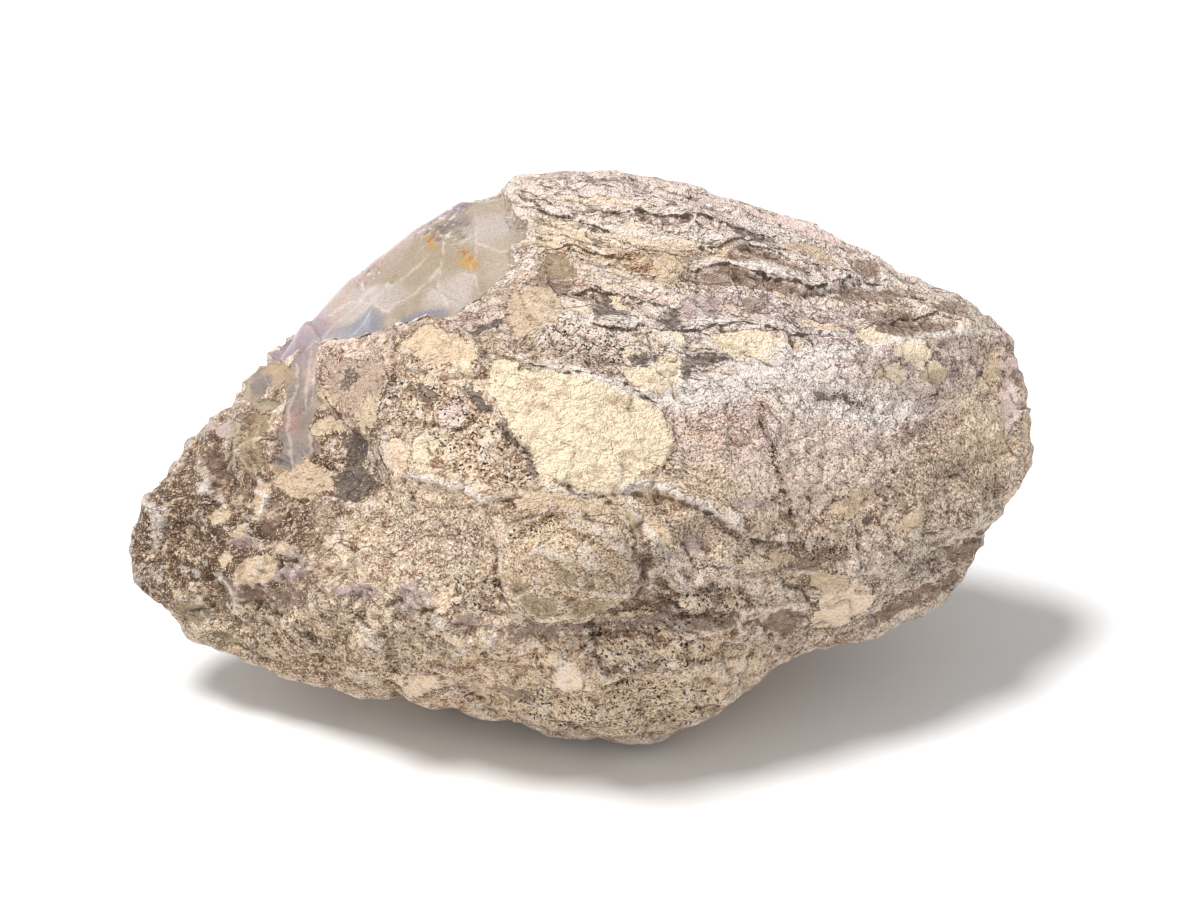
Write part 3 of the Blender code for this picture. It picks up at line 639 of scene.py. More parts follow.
# Whitish edges along ridges and lips, partly frosted rock and partly painted highlight: half width in mm,
# then the line
FROST_AND_HIGHLIGHT_LINES = (
    (0.8, ((517, 355), (540, 368), (600, 381), (655, 402), (700, 398), (740, 382), (794, 367), (850, 352))),
    (3.2, ((660, 404), (700, 396), (740, 382), (790, 366), (840, 356))),
    (0.9, ((693, 275), (720, 272), (770, 281), (800, 290), (830, 288), (860, 280), (890, 285))),
    (0.5, ((322, 342), (365, 335), (410, 322), (460, 311), (490, 288), (518, 266), (510, 248), (528, 236))),
    (0.5, ((577, 325), (620, 332), (650, 334), (680, 352))), (0.8, ((677, 333), (700, 328), (757, 326))),
    (0.5, ((757, 326), (800, 338), (850, 334))), (0.9, ((800, 405), (840, 418), (880, 430))),
    (0.6, ((614, 493), (640, 487), (672, 493), (697, 506), (735, 520))),
    (0.4, ((540, 484), (556, 490), (600, 500))), (0.4, ((400, 476), (430, 480), (465, 487), (486, 503))),
    (0.4, ((385, 430), (388, 470))),
    (0.4, ((520, 205), (575, 222), (620, 234), (700, 246), (760, 262), (800, 272))),
    (0.5, ((880, 273), (920, 290), (950, 302))), (0.6, ((860, 350), (925, 338), (990, 332))),
    (0.4, ((197, 487), (212, 490), (225, 503))), (0.4, ((196, 457), (201, 470), (198, 490))),
    (0.4, ((255, 490), (268, 500), (262, 525))), (0.4, ((300, 552), (310, 560), (300, 575))),
    (0.4, ((150, 500), (165, 520), (158, 550))), (0.4, ((215, 575), (240, 590), (236, 610))),
    (0.4, ((617, 478), (640, 520), (665, 560), (690, 600))),
    (0.4, ((532, 524), (548, 518), (569, 518), (600, 530))),
)
# Zones where the rock is evenly grained: column, row, half width, half height, slope in degrees
EVEN_ZONES = (
    (440, 535, 70, 40, 10), (900, 440, 120, 70, 0), (720, 450, 60, 60, 0), (575, 560, 70, 45, 0),
    (620, 700, 120, 30, 0), (700, 540, 70, 30, 10), (350, 390, 40, 40, 0),
)
# Lighter and darker stretches of the rock: strength, then the zone
LIGHT_ZONES = (
    (0.85, 640, 212, 110, 22, 10), (0.45, 765, 240, 80, 14, 22), (0.30, 870, 385, 50, 20, 0),
    (0.40, 740, 349, 50, 14, 8), (0.20, 825, 420, 50, 18, 0), (0.25, 725, 565, 80, 34, 0),
    (0.25, 905, 315, 60, 30, 20), (0.15, 880, 610, 60, 30, -30), (-0.40, 650, 275, 60, 16, 8),
    (-0.45, 345, 395, 40, 46, 0), (-0.35, 440, 535, 60, 42, 0), (-0.30, 470, 430, 56, 30, 25),
    (-0.50, 720, 425, 50, 32, 0), (-0.35, 215, 545, 110, 70, 0), (-0.40, 310, 655, 110, 40, 10),
    (-0.30, 935, 440, 70, 36, 0), (-0.30, 570, 570, 64, 42, 0), (-0.20, 560, 680, 160, 40, 0),
)
# Zones whose light specks are whitish pink, not cream
PINKISH_ZONES = (
    (790, 370, 190, 70, 6), (700, 220, 220, 34, 18), (440, 540, 60, 40, 0), (900, 560, 100, 30, -30),
)
# Zones that have a relief of their own
TOP_ZONE = (
    (505, 185), (600, 172), (700, 195), (830, 240), (900, 275), (990, 328), (900, 350), (790, 366),
    (700, 395), (640, 392), (560, 375), (530, 340), (520, 270), (530, 235),
)
LEFT_ZONE = ((120, 560), (200, 415), (240, 400), (330, 480), (340, 590), (200, 610), (150, 620))
NODULE_ZONE = ((190, 640), (260, 590), (420, 580), (450, 640), (400, 700), (240, 680))
FOOT_ZONE = ((430, 640), (500, 610), (680, 615), (800, 600), (860, 650), (640, 750), (430, 720))
RIGHT_UNDER_ZONE = ((780, 600), (860, 565), (1000, 505), (1030, 480), (960, 620), (800, 680))
RIGHT_ZONE = ((790, 400), (900, 380), (1030, 380), (1030, 500), (900, 540), (800, 530))
SMOOTH_ZONE = ((490, 365), (600, 380), (676, 455), (610, 500), (540, 470), (500, 410))
# Zones of worn layers: slope, gap between edges, height in mm, seed, how strongly layers differ, outline
LAYERED = (
    (15, 11, 0.8, 11, 1.0, TOP_ZONE), (-28, 17, 1.3, 21, 0.7, RIGHT_UNDER_ZONE),
    (-4, 16, 0.8, 31, 0.5, FOOT_ZONE), (-32, 12, 0.35, 41, 0.35, RIGHT_ZONE),
)


# ---------------------------------------------------------------- the fine mesh

LAYERS_TOP = (0.94, -0.33, -0.08)       # the way the worn layers run on the top slope
LAYERS_RIGHT = (0.80, 0.25, 0.55)       # on the right face
LAYERS_FRONT = (0.97, 0.05, -0.10)      # and elsewhere
SEED_SHIFT = np.array((7.3, 3.1, 5.7))  # what each seed moves the relief's noise by
TILT_SCATTER = 91.7                     # spreads neighbouring chips' tilts
CHANCE = (12.9898, 43758.5453)          # turns a layer's number into a share that looks random
FRONT_FACES = 38500                     # how many faces towards the eye are split in four
FRONT_EVENING = (2, 0.4)                # how often the finer corners are evened out, and by what share
NEAR_MEAN, WIDE_MEAN = (3, 0.5), (14, 0.5)  # the evened forms that crests and hollows stand out from
BEND = 2.5 * MM                         # how far folds, bowls and lumps are bent
LAYER_WAVES = ((26, 2, 1.2), (7, 3, 0.4))  # how layers wave: size in mm, octaves, share of their gap
RIPPLE_SHARE, BLUNT_SIZE = 0.42, 15     # how far folds are drawn out, and the size of their blunter places
ZONE_SWAY, EDGE_SWAY = 9, 5             # how far zones and ledges stray from their outlines, in squares
FOLD_WAVES = ((17, 1.5), (6, 0.35))     # rounded folds: size and height in mm
FINE_FOLDS = (2.0, 0.2)                 # and the finest of them
FACETS = ((8, 0.5, 5), (3.2, 0.2, 6))   # broken facets: size and height in mm, and seed
BOWL_SIZE, BOWL_HEIGHT = 8.5, 1.5       # scooped bowls of the left end, in mm
NODULE_SIZE = 5.5                       # small lumps at the lower left, in mm
NODULE_RING, NODULE_DOME = 0.22, 0.7    # heights of the rings round them and of the lumps, in mm
AGATE_SWELL, AGATE_FACET = (14, 0.3), (15, 0.55)  # the agate's swells and facets: size and height in mm
AGATE_ROUGHNESS = 0.15                  # the share of the rock's broad swells that the agate has
CALM_PATCH = 0.5                        # how much smoother the cream panel is
WINDOW_SWAY = 4                         # how far the agate's edge strays, in squares
WINDOW_FADE = 9                         # how fast the agate gives way to rock behind the outline, in mm
CHIP_FLATNESS = 0.6                     # how much of the relief the chips of agate lose


def finer_front(mesh):
    """Splits the faces that turn most towards the eye, where the stone is looked at closely."""
    ball = bmesh.new()
    ball.from_mesh(mesh)
    ball.normal_update()
    eye = Vector(VIEW)
    ranked = sorted(ball.faces, key=lambda face: -face.normal.dot(eye))[:FRONT_FACES]
    edges = list(dict.fromkeys(edge for face in ranked for edge in face.edges))
    bmesh.ops.subdivide_edges(ball, edges=edges, cuts=1, use_grid_fill=True)
    bmesh.ops.triangulate(ball, faces=ball.faces[:])
    ball.to_mesh(mesh)
    ball.free()
    points, edges = mesh_arrays(mesh)
    set_points(mesh, evened(points, edges, *FRONT_EVENING))


def fractal(points, size, octaves, seed):
    """Layered noise from about -1 to 1 at every point; size is its largest wave, in mm."""
    shift = Vector(SEED_SHIFT * seed)
    scale = 1 / (size * MM)
    return np.array([noise.fractal(Vector(point) * scale + shift, 1.0, 2.0, octaves) for point in points])


def wander(points, size, octaves, seed, ways):
    """Layered noise in two or three directions, to bend outlines and layers with."""
    return np.stack([fractal(points, size, octaves, seed + way) for way in range(ways)], axis=1)


def cells(points, size, seed):
    """Distances to the nearest two of scattered seeds about `size` mm apart, and the nearest seed."""
    shift = Vector(SEED_SHIFT * seed)
    scale = 1 / (size * MM)
    first, second = np.empty(len(points)), np.empty(len(points))
    seeds = np.empty((len(points), 3))
    for i, point in enumerate(points):
        distances, places = noise.voronoi(Vector(point) * scale + shift)
        first[i], second[i] = distances[0], distances[1]
        seeds[i] = places[0]
    return first, second, seeds


def chips(points, size, height, seed):
    """Small flat scars, each tilted its own way, as where grains have broken off."""
    _, _, seeds = cells(points, size, seed)
    tilts = np.array([noise.cell_vector(Vector(place) * TILT_SCATTER) for place in seeds])
    local = points / (size * MM) + SEED_SHIFT * seed - seeds
    return height * MM * ((tilts * local).sum(axis=1) * 1.6 + tilts[:, 0] * 0.5)


def ellipse_gap(places, column, row, half_width, half_height, slope):
    """About how far inside a tilted ellipse each place is, in mm; negative outside."""
    turn = math.radians(slope)
    x, y = places[:, 0] - column, places[:, 1] - row
    along = (x * math.cos(turn) + y * math.sin(turn)) / half_width
    across = (-x * math.sin(turn) + y * math.cos(turn)) / half_height
    return (1 - np.hypot(along, across)) * min(half_width, half_height) * SQUARE / MM


def zone(places, corners, soft=10):
    """1 inside an outline and 0 outside it, with a soft edge of so many squares."""
    gap, _ = beside(places, corners, closed=True)
    return smooth_ramp(gap, -soft, soft)


def layers(places, points, slope, gap, seed):
    """Saw-tooth edges of thin layers that cross the front, each highest at its lower lip, and a
    random share from -0.5 to 0.5 for each layer."""
    turn = math.radians(slope)
    across = -places[:, 0] * math.sin(turn) + places[:, 1] * math.cos(turn)
    phase = across / gap
    for k, (size, octaves, height) in enumerate(LAYER_WAVES):
        phase = phase + fractal(points, size, octaves, seed + k) * height
    step, layer = phase % 1, np.floor(phase)
    chance = np.sin(layer * CHANCE[0] + seed) * CHANCE[1] % 1
    return (0.25 + 0.75 * chance) * step ** 1.5 * np.clip((1 - step) * 7, 0, 1), chance - 0.5


def block_rise(places):
    """Blocks of rock with a clear edge."""
    rise = np.zeros(len(places))
    for height, soft, corners in BLOCKS:
        gap = beside(places, corners, closed=True)[0] * SQUARE / MM
        rise += height * MM * smooth_ramp(gap, -soft, soft)
    return rise


def drawn(points, along, share):
    """The points squeezed along one direction, so that noise is drawn out that way."""
    along = np.array(along) / np.linalg.norm(along)
    return points + np.outer(points @ along, along) * (share - 1)


def ripples(points, along, size, seed):
    """Rounded swells with creases between them, drawn out along one direction, from about -0.3 to 0.7."""
    bent = points + wander(points, 12, 2, seed, 3) * BEND
    wave = fractal(drawn(bent, along, RIPPLE_SHARE), size, 4, seed + 3)
    blunt = smooth_ramp(fractal(points, BLUNT_SIZE, 2, seed + 4), -0.3, 0.3) * 0.22 + 0.01
    return np.sqrt(wave ** 2 + blunt ** 2) * 1.7 - 0.3


def fine_relief(points, places, front, agate):
    """All the small shapes of the surface, in metres along its normal."""
    sway = wander(points, 6, 5, 1, 2)
    moved, edged = places + sway * ZONE_SWAY, places + sway * EDGE_SWAY
    top = zone(moved, TOP_ZONE) * front
    left = zone(moved, LEFT_ZONE) * front
    nodules = zone(moved, NODULE_ZONE) * front
    right = zone(moved, RIGHT_ZONE) * front
    smooth = zone(moved, SMOOTH_ZONE) * front
    plain = np.clip(1 - top - right, 0, 1)

    rise = front * (ledge_rise(edged) + lump_rise(moved) + block_rise(edged))
    rise += (1 - front) * layer_rise(points)
    for slope, gap, height, seed, _, corners in LAYERED:
        rise += zone(moved, corners) * front * height * MM * layers(places, points, slope, gap, seed)[0]
    bowls, _, _ = cells(points, BOWL_SIZE, 3)
    rise += left * BOWL_HEIGHT * MM * np.clip(bowls * 1.5, 0, 1) ** 2
    rings, _, _ = cells(points, NODULE_SIZE, 4)
    rise += nodules * MM * (NODULE_RING * np.cos(rings * 15) + NODULE_DOME * (0.5 - rings))
    rough = 1 - CALM_PATCH * smooth
    for share, along, seed in ((top, LAYERS_TOP, 50), (right, LAYERS_RIGHT, 60), (plain, LAYERS_FRONT, 70)):
        waves = sum(ripples(points, along, size, seed + 5 * k) * height
                    for k, (size, height) in enumerate(FOLD_WAVES))
        size, height = FINE_FOLDS
        fine = ripples(points, along, size, seed + 9) * height * rough
        rise += share * MM * (waves * (1 - 0.8 * CALM_PATCH * smooth) + fine)
    rise += rough * sum(chips(points, *facet) for facet in FACETS)
    swells = rough_rise(points)
    (size, height), (facet, tilt) = AGATE_SWELL, AGATE_FACET
    calm = fractal(points, size, 2, 9) * height * MM + chips(points, facet, tilt, 10)
    return (rise + swells) * (1 - agate) + (AGATE_ROUGHNESS * swells + calm - WINDOW_DROP) * agate


def stone_shape():
    """The fine mesh, with its places on the grid and what the material needs to know of each corner."""
    mesh = coarse_form()
    finer_front(mesh)
    points, edges = mesh_arrays(mesh)
    facing = normals_of(mesh)
    towards = facing @ VIEW
    places = to_grid(points)
    front = smooth_ramp(towards, 0.0, 0.3)
    moved = places + wander(points, 5, 4, 12, 2) * WINDOW_SWAY
    window, _ = beside(moved, WINDOW, closed=True)
    agate_gap = window * SQUARE / MM - WINDOW_FADE * smooth_ramp(-towards, 0.1, 0.9)
    agate = smooth_ramp(agate_gap, -0.2, 0.8)
    rise = fine_relief(points, places, front, agate)
    rise *= 1 - CHIP_FLATNESS * front * smooth_ramp(patch_gap(moved, AGATE_CHIPS), -0.4, 0.8)
    raised = points + facing * rise[:, None]
    mean = evened(raised, edges, *NEAR_MEAN)
    wide = evened(mean, edges, *WIDE_MEAN)
    # how far each corner stands out of its near and wide neighbours; the material paints shade in the hollows
    # these find, and paler crests
    proud = ((raised - mean) * facing).sum(axis=1) / MM
    swell = ((raised - wide) * facing).sum(axis=1) / MM
    final = raised + MIDDLE_PLACE
    final[:, 2] = np.maximum(final[:, 2], 0.0)
    set_points(mesh, final)
    return mesh, dict(points=points, places=places, front=front, agate=agate_gap, proud=proud, swell=swell)


# ---------------------------------------------------------------- what each corner carries

SOFT_SWAY, PATCH_SWAY = 14, 6           # how far soft zones and crisp patches stray, in squares
FAR = -6.0                              # a distance well outside every shape, in mm
VEIN_WIDTH, STREAK_WIDTH = 1.3, 0.12    # half widths in mm
BOWL_CELLS, LUMP_CELLS = 6.0, 3.8       # size of the bowls and lumps that the colours show, in mm
FLOW_BEND = 1.4 * MM                    # how far the layers' grain is bent
FLOW_SHARE, FOLD_SHARE = 0.16, 0.6      # how far the grain is drawn out along the layers
VECTORS = ("flow", "fold")              # the stored names that hold places


def soft_colours(base, zones, places, points, seed):
    """The base colour with every zone's colour laid over it, soft and uneven at its edge."""
    moved = places + wander(points, 12, 4, seed, 2) * SOFT_SWAY
    colours = np.tile(linear(base), (len(places), 1))
    for name, column, row, half_width, half_height, slope in zones:
        gap = ellipse_gap(moved, column, row, half_width, half_height, slope)
        reach = min(half_width, half_height) * SQUARE / MM
        share = smooth_ramp(gap, -0.45 * reach, 0.45 * reach)[:, None]
        colours = colours * (1 - share) + linear(name) * share
    return colours


def patch_gap(places, patches):
    """How far inside the nearest patch each place is, in mm; negative outside."""
    gap = np.full(len(places), FAR)
    for patch in patches:
        gap = np.maximum(gap, ellipse_gap(places, *patch))
    return gap


def coloured_patches(places, patches):
    """How far inside the nearest patch each place is, in mm, and that patch's colour."""
    best, colours = np.full(len(places), -np.inf), np.zeros((len(places), 3))
    for name, group in patches.items():
        for patch in group:
            gap = ellipse_gap(places, *patch)
            nearer = gap > best
            best[nearer], colours[nearer] = gap[nearer], linear(name)
    return np.maximum(best, FAR), colours


def line_gap(places, lines):
    """How far inside the nearest line each place is, in mm; negative outside."""
    gap = np.full(len(places), FAR)
    for half_width, line in lines:
        distance, along = beside(places, line)
        taper = smooth_ramp(along, -0.01, 0.1) * smooth_ramp(1 - along, -0.01, 0.1)
        gap = np.maximum(gap, half_width * (0.3 + 0.7 * taper) - np.abs(distance) * SQUARE / MM)
    return gap


def patch_values(points, moved, front):
    """How far inside the pale and the dark patches each corner is, in mm, and their colours."""
    pale, cover = coloured_patches(moved, PALE_PATCHES)
    panel = beside(moved, CREAM_PANEL, closed=True)[0] * SQUARE / MM
    cover[panel > pale] = linear("cream")
    dark, under = coloured_patches(moved, DARK_PATCHES)
    pale_behind = fractal(points, 16, 3, 16) * 6 - 1.2
    dark_behind = fractal(points, 14, 3, 17) * 6 - 2.5
    return {
        "cream": front * np.maximum(pale, panel) + (1 - front) * pale_behind,
        "cover": cover,
        "dark": front * dark + (1 - front) * dark_behind,
        "under": under,
    }


def mark_values(places, sway, front):
    """How far inside cracks, painted shadow lines, veins, stains, frosted edges (partly painted highlight)
    and chips of agate each corner is, in mm.
    """
    hidden = (1 - front) * FAR
    # the top ledges' lips get painted shadow lines as well, carried with the cracks
    cracks = CRACKS + tuple((LEDGE_SHADOW_LINE, lip) for _, _, lip in TOP_LEDGES)
    rust = patch_gap(places + sway * 0.5, [(column, row, size, size, 0) for column, row, size in RUST_SPOTS])
    soot = patch_gap(places + sway * 0.5, [(*spot, 0) for spot in SOOT_SPOTS])
    crushed = patch_gap(places + sway * 0.3, AGATE_CRUSHED)
    frost = line_gap(places + sway * 0.6, FROST_AND_HIGHLIGHT_LINES)
    return {
        "crack_and_shadow_line": front * line_gap(places + sway * 0.3, cracks) + hidden,
        "vein": front * line_gap(places + sway * 0.4, ((VEIN_WIDTH, RUST_VEIN),)) + hidden,
        "rust": front * rust + hidden,
        "soot": front * soot + hidden,
        "frost": front * smooth_ramp(frost, -0.8, 0.6),
        "streak": line_gap(places + sway * 0.3, [(STREAK_WIDTH, line) for line in AGATE_VEINS]),
        "crushed": smooth_ramp(crushed, -0.5, 0.5),
    }


def zone_values(points, places, moved, front):
    """How strongly each corner belongs to the zones: uneven layers, dots, even grain and so on."""
    tint = np.zeros(len(points))
    for slope, gap, _, seed, strength, corners in LAYERED:
        share = strength * zone(moved, corners) * front
        tint += share * layers(places, points, slope, gap, seed)[1]
    for amount, *patch in LIGHT_ZONES:
        tint += amount * smooth_ramp(patch_gap(moved, (patch,)), -2, 4)
    left, nodules = zone(moved, LEFT_ZONE), zone(moved, NODULE_ZONE)
    even = np.maximum(smooth_ramp(patch_gap(moved, EVEN_ZONES), -2, 4), 0.7 * np.maximum(left, nodules))
    layered = zone(moved, TOP_ZONE) + 0.5 * zone(moved, RIGHT_UNDER_ZONE)
    return {
        "tint": tint,
        "dotted": smooth_ramp(patch_gap(moved, DOTTED_ZONES), -2, 2) * front + 0.25,
        "even": even * front,
        "pinkish": smooth_ramp(patch_gap(moved, PINKISH_ZONES), -4, 4) * front,
        "strata": layered * front + 0.4 * (1 - front),
    }


def cell_gaps(points, size, seed):
    """Distances in mm from the nearest scattered seed, and from the border between two of them."""
    first, second, _ = cells(points, size, seed)
    return first * size, (second - first) * size / 2


def bowl_values(points, moved, front):
    """Depth and rims of the left end's bowls, which the material paints with shade and highlight, and the
    lumps below them with the joints between.
    """
    left, nodules = zone(moved, LEFT_ZONE) * front, zone(moved, NODULE_ZONE) * front
    bent = points + wander(points, 9, 2, 80, 3) * BEND
    deep, rim = cell_gaps(bent, BOWL_CELLS, 5)
    high, between = cell_gaps(bent, LUMP_CELLS, 6)
    return {
        "deep": left * smooth_ramp(-deep, -2.7, -0.9),
        "rim": 0.15 - rim - 3 * (1 - left),
        "lump": 1.0 - high - 3 * (1 - nodules),
        "between": 0.2 - between - 3 * (1 - nodules),
        "fold": drawn(bent, LAYERS_TOP, FOLD_SHARE) / MM,
    }


def dress(mesh, facts):
    """Stores on the mesh what the material reads: colours, and distances inside crisp shapes."""
    points, places, front = facts["points"], facts["places"], facts["front"]
    sway = wander(points, 6, 4, 14, 2) * PATCH_SWAY
    moved = places + sway
    chips_gap = patch_gap(moved, AGATE_CHIPS) * front + (1 - front) * FAR
    flow = drawn(points + wander(points, 16, 2, 90, 3) * FLOW_BEND, LAYERS_TOP, FLOW_SHARE) / MM
    values = {
        **patch_values(points, moved, front),
        **mark_values(places, sway, front),
        **zone_values(points, places, moved, front),
        **bowl_values(points, moved, front),
        "agate": np.maximum(facts["agate"], chips_gap),
        "window": smooth_ramp(facts["agate"], 0, 1),
        "flow": flow,
        "proud": facts["proud"],
        "swell": facts["swell"],
        "ground": soft_colours("stone", GROUND_ZONES, places, points, 18),
        "milk": soft_colours("honeydew", AGATE_ZONES, places, points, 20),
    }
    for name, value in values.items():
        store(mesh, name, value)


def store(mesh, name, values):
    """A number for each corner, a colour, or for the names in VECTORS a place."""
    kind, field = "FLOAT", "value"
    if name in VECTORS:
        kind, field = "FLOAT_VECTOR", "vector"
    elif values.ndim == 2:
        kind, field = "FLOAT_COLOR", "color"
        values = np.column_stack((values, np.ones(len(values))))
    layer = mesh.attributes.new(name, kind, "POINT")
    layer.data.foreach_set(field, values.astype(np.float32).ravel())


# ---------------------------------------------------------------- the material

# Grains: size of the largest wave in mm, seed, octaves, roughness
MEDIUM_GRAIN = (7.0, 1, 3.0, 0.62)
SMALL_GRAIN = (2.0, 2, 3.0, 0.70)
GRIT = (0.5, 34, 1.0, 1.0)
CRUST, LAYERED_CRUST = (3.0, 44, 4.5, 0.74), (4.0, 45, 4.5, 0.74)
LAYER_BANDS = (3.6, 41, 2.0, 0.6)
CREASES = (4.0, 62, 3.0, 0.55)
DOTS = (0.7, 61, 1.0, 0.6)
BUMP_HEIGHT = 1.0 * MM                  # how far a height of 1 stands out in the bump
SCATTER_DEPTH = 2.5 * MM                # how deep light goes into the agate
SCATTER_COLOURS = (1.0, 0.85, 0.75)     # how deep red, green and blue go, as shares of that
COAT_ROUGHNESS = 0.1
SPECULAR = 0.35
NOISE_SHIFT = (13.7, 7.9, 3.3)          # what each seed moves the material's noise by, in mm
MIX_SOCKETS = {"FLOAT": (2, 3, 0), "RGBA": (6, 7, 2)}  # a Mix node's two inputs and its output, by kind


class Wire:
    """A value, colour or place inside a material, joined to others by plain arithmetic."""

    tree = None

    def __init__(self, socket):
        self.socket = socket

    def __add__(self, other):
        return calc("ADD", self, other)

    def __sub__(self, other):
        return calc("SUBTRACT", self, other)

    def __mul__(self, other):
        return calc("MULTIPLY", self, other)

    __radd__, __rmul__ = __add__, __mul__

    def __rsub__(self, other):
        return calc("SUBTRACT", other, self)


def feed(socket, value):
    if isinstance(value, Wire):
        Wire.tree.links.new(value.socket, socket)
    else:
        socket.default_value = value


def node(kind, settings=(), inputs=(), output=0):
    made = Wire.tree.nodes.new("ShaderNode" + kind)
    for name, value in dict(settings).items():
        setattr(made, name, value)
    for name, value in dict(inputs).items():
        feed(made.inputs[name], value)
    return Wire(made.outputs[output])


def calc(operation, *terms):
    return node("Math", {"operation": operation}, dict(enumerate(terms)))


def ramp(value, low, high, start=0.0, end=1.0):
    """Goes smoothly from start to end as the value goes from low to high."""
    inputs = {"Value": value, "From Min": low, "From Max": high, "To Min": start, "To Max": end}
    return node("MapRange", {"interpolation_type": "SMOOTHSTEP"}, inputs)


def mixed(data_type, first, second, share, kind="MIX"):
    low, high, result = MIX_SOCKETS[data_type]
    made = Wire.tree.nodes.new("ShaderNodeMix")
    made.data_type, made.blend_type = data_type, kind
    feed(made.inputs[0], share)
    feed(made.inputs[low], first)
    feed(made.inputs[high], second)
    return Wire(made.outputs[result])


def mix(first, second, share, kind="MIX"):
    """The first colour, with a share of the second laid over it."""
    return mixed("RGBA", first, second, share, kind)


def blend(first, second, share):
    """The first value, with a share of the second in its place."""
    return mixed("FLOAT", first, second, share)


def colour(name):
    return (*linear(name), 1.0)


def carried(name, output="Fac"):
    return node("Attribute", {"attribute_name": name}, output=output)


def offset(place, amount):
    return node("VectorMath", {"operation": "ADD"}, {0: place, 1: amount})


def clouds(place, size, seed, detail, roughness):
    """Layered noise from 0 to 1; size is its largest wave in mm."""
    moved = offset(place, tuple(seed * step for step in NOISE_SHIFT))
    inputs = {"Vector": moved, "Scale": 1 / size, "Detail": detail, "Roughness": roughness}
    return node("TexNoise", {}, inputs, "Fac")


def darkened(surface, name, share):
    """The colour multiplied by a palette colour, for a share of it."""
    return mix(surface, colour(name), share, "MULTIPLY")


def rock_colour(crust, medium, small):
    """Pale matrix with cream patches, dark patches (a few of them painted shade), joints and frosted edges
    (partly painted highlight along ridges and lips), and how far each place lies in a patch, where the grain
    is calmer."""
    ground = carried("ground", "Color")
    contrast = 1.0 - carried("even") * 0.75 - carried("strata") * 0.25
    shade = 0.51 + (crust - 0.5) * contrast + carried("tint") * 0.14 + carried("strata") * 0.028
    ground = darkened(ground, "matrix", ramp(shade, 0.485, 0.465, 0.0, 0.6))
    ground = darkened(ground, "matrix", ramp(shade, 0.445, 0.425, 0.0, 0.9))
    ground = mix(ground, colour("buff"), ramp(shade, 0.52, 0.535, 0.0, 0.45))
    ground = mix(ground, colour("pale"), ramp(shade, 0.56, 0.575, 0.0, 0.6))

    drift = (crust - 0.5) * 5.5
    inside = carried("cream") + drift
    cover = mix(carried("cover", "Color"), colour("tan"), ramp(medium, 0.55, 0.72, 0.0, 0.4))
    cover = darkened(cover, "matrix", ramp(crust, 0.45, 0.42, 0.0, 0.5))
    surface = mix(ground, cover, ramp(inside, -0.1, 0.2))
    joint = ramp(calc("ABSOLUTE", inside + 0.15), 0.25, 0.08) * ramp(medium, 0.42, 0.50)
    surface = mix(surface, colour("umber"), joint * 0.8)

    darker = carried("dark") + (small - 0.5) * 3.5 - drift * 0.5
    # the dark patches, a few of which are painted shade
    surface = mix(surface, carried("under", "Color"), ramp(darker, 0.0, 0.3, 0.0, 0.9))
    # frosted edges along ridges and lips, partly painted highlight
    surface = mix(surface, colour("frost"), carried("frost") * ramp(small, 0.70, 0.50) * 0.95)
    dimmed = ramp(darker, 0.0, 0.3)
    return surface, ramp(inside, 0.0, 0.4) * (1.0 - dimmed) + dimmed


def worn_layers(surface, flow, small, calm):
    """Thin dark joints and pale lips where the rock's layers come out, partly the rock's own joints and
    frosted lips, partly painted light and painted shade of the layers' small steps.
    """
    bands = clouds(flow, *LAYER_BANDS) + (small - 0.5) * 0.06
    strata = carried("strata") * (1.0 - calm * 0.7)
    lip = ramp(calc("ABSOLUTE", bands - 0.49), 0.02, 0.010)
    joint = ramp(calc("ABSOLUTE", bands - 0.46), 0.018, 0.006)
    # pale lips and dark joints, partly painted light and painted shade of the layers' small steps
    surface = mix(surface, colour("frost"), lip * strata * 0.8)
    return mix(surface, colour("umber"), joint * strata * 0.85)


def scallops(surface, small):
    """Shallow bowls at the left end, with painted shade inside and a pale rim that is a painted highlight,
    and small round lumps with dark joints below.
    """
    rough = (small - 0.5) * 1.2
    # painted shade inside the bowls
    surface = darkened(surface, "brown", carried("deep") * 0.55)
    # painted highlight along the bowls' rims
    surface = mix(surface, colour("tan"), ramp(carried("rim") + rough, -0.05, 0.1, 0.0, 0.8))
    surface = mix(surface, colour("tan"), ramp(carried("lump") + rough, -0.05, 0.15, 0.0, 0.75))
    return mix(surface, colour("umber"), ramp(carried("between") + rough, -0.05, 0.1, 0.0, 0.6))


def folds(surface, medium, calm):
    """Thin creases between the folds of the worn surface, darkened with painted shade, and their height in
    mm.
    """
    crease = calc("ABSOLUTE", clouds(carried("fold", "Vector"), *CREASES) - 0.5)
    where = ramp(medium, 0.48, 0.56) * (1.0 - calm * 0.6)
    # painted shade in the creases
    surface = mix(surface, colour("umber"), ramp(crease, 0.012, 0.004) * where * 0.6)
    return surface, ramp(crease, 0.0, 0.06) * ramp(carried("cream"), -0.5, 0.5, 0.65, 0.25)


def rock_marks(surface, place, small, grit):
    """Cracks and painted shadow lines (under the top ledges' lips and the nose), veins, specks and stains
    over the rock.
    """
    marks = (
        # cracks, and painted shadow lines under the top ledges and the nose
        ("umber", carried("crack_and_shadow_line") + (small - 0.5) * 1.0, -0.05, 0.12, 0.95),
        ("rust", carried("vein") + (grit - 0.60) * 12.0, 0.0, 0.6, 0.85),
        ("soot", carried("vein") + (small - 0.60) * 9.0, 0.4, 0.8, 0.90),
        ("rust", carried("rust") + (0.42 - grit) * 12.0, 0.0, 0.5, 0.85),
        ("soot", carried("soot") + (grit - 0.56) * 14.0, 0.0, 0.3, 0.95),
    )
    for name, gap, low, high, strength in marks:
        surface = mix(surface, colour(name), ramp(gap, low, high, 0.0, strength))
    dots = ramp(clouds(place, *DOTS), 0.43, 0.38) * ramp(small, 0.60, 0.52)
    return mix(surface, colour("soot"), dots * ramp(carried("dotted"), 0.35, 0.9, 0.0, 0.95))


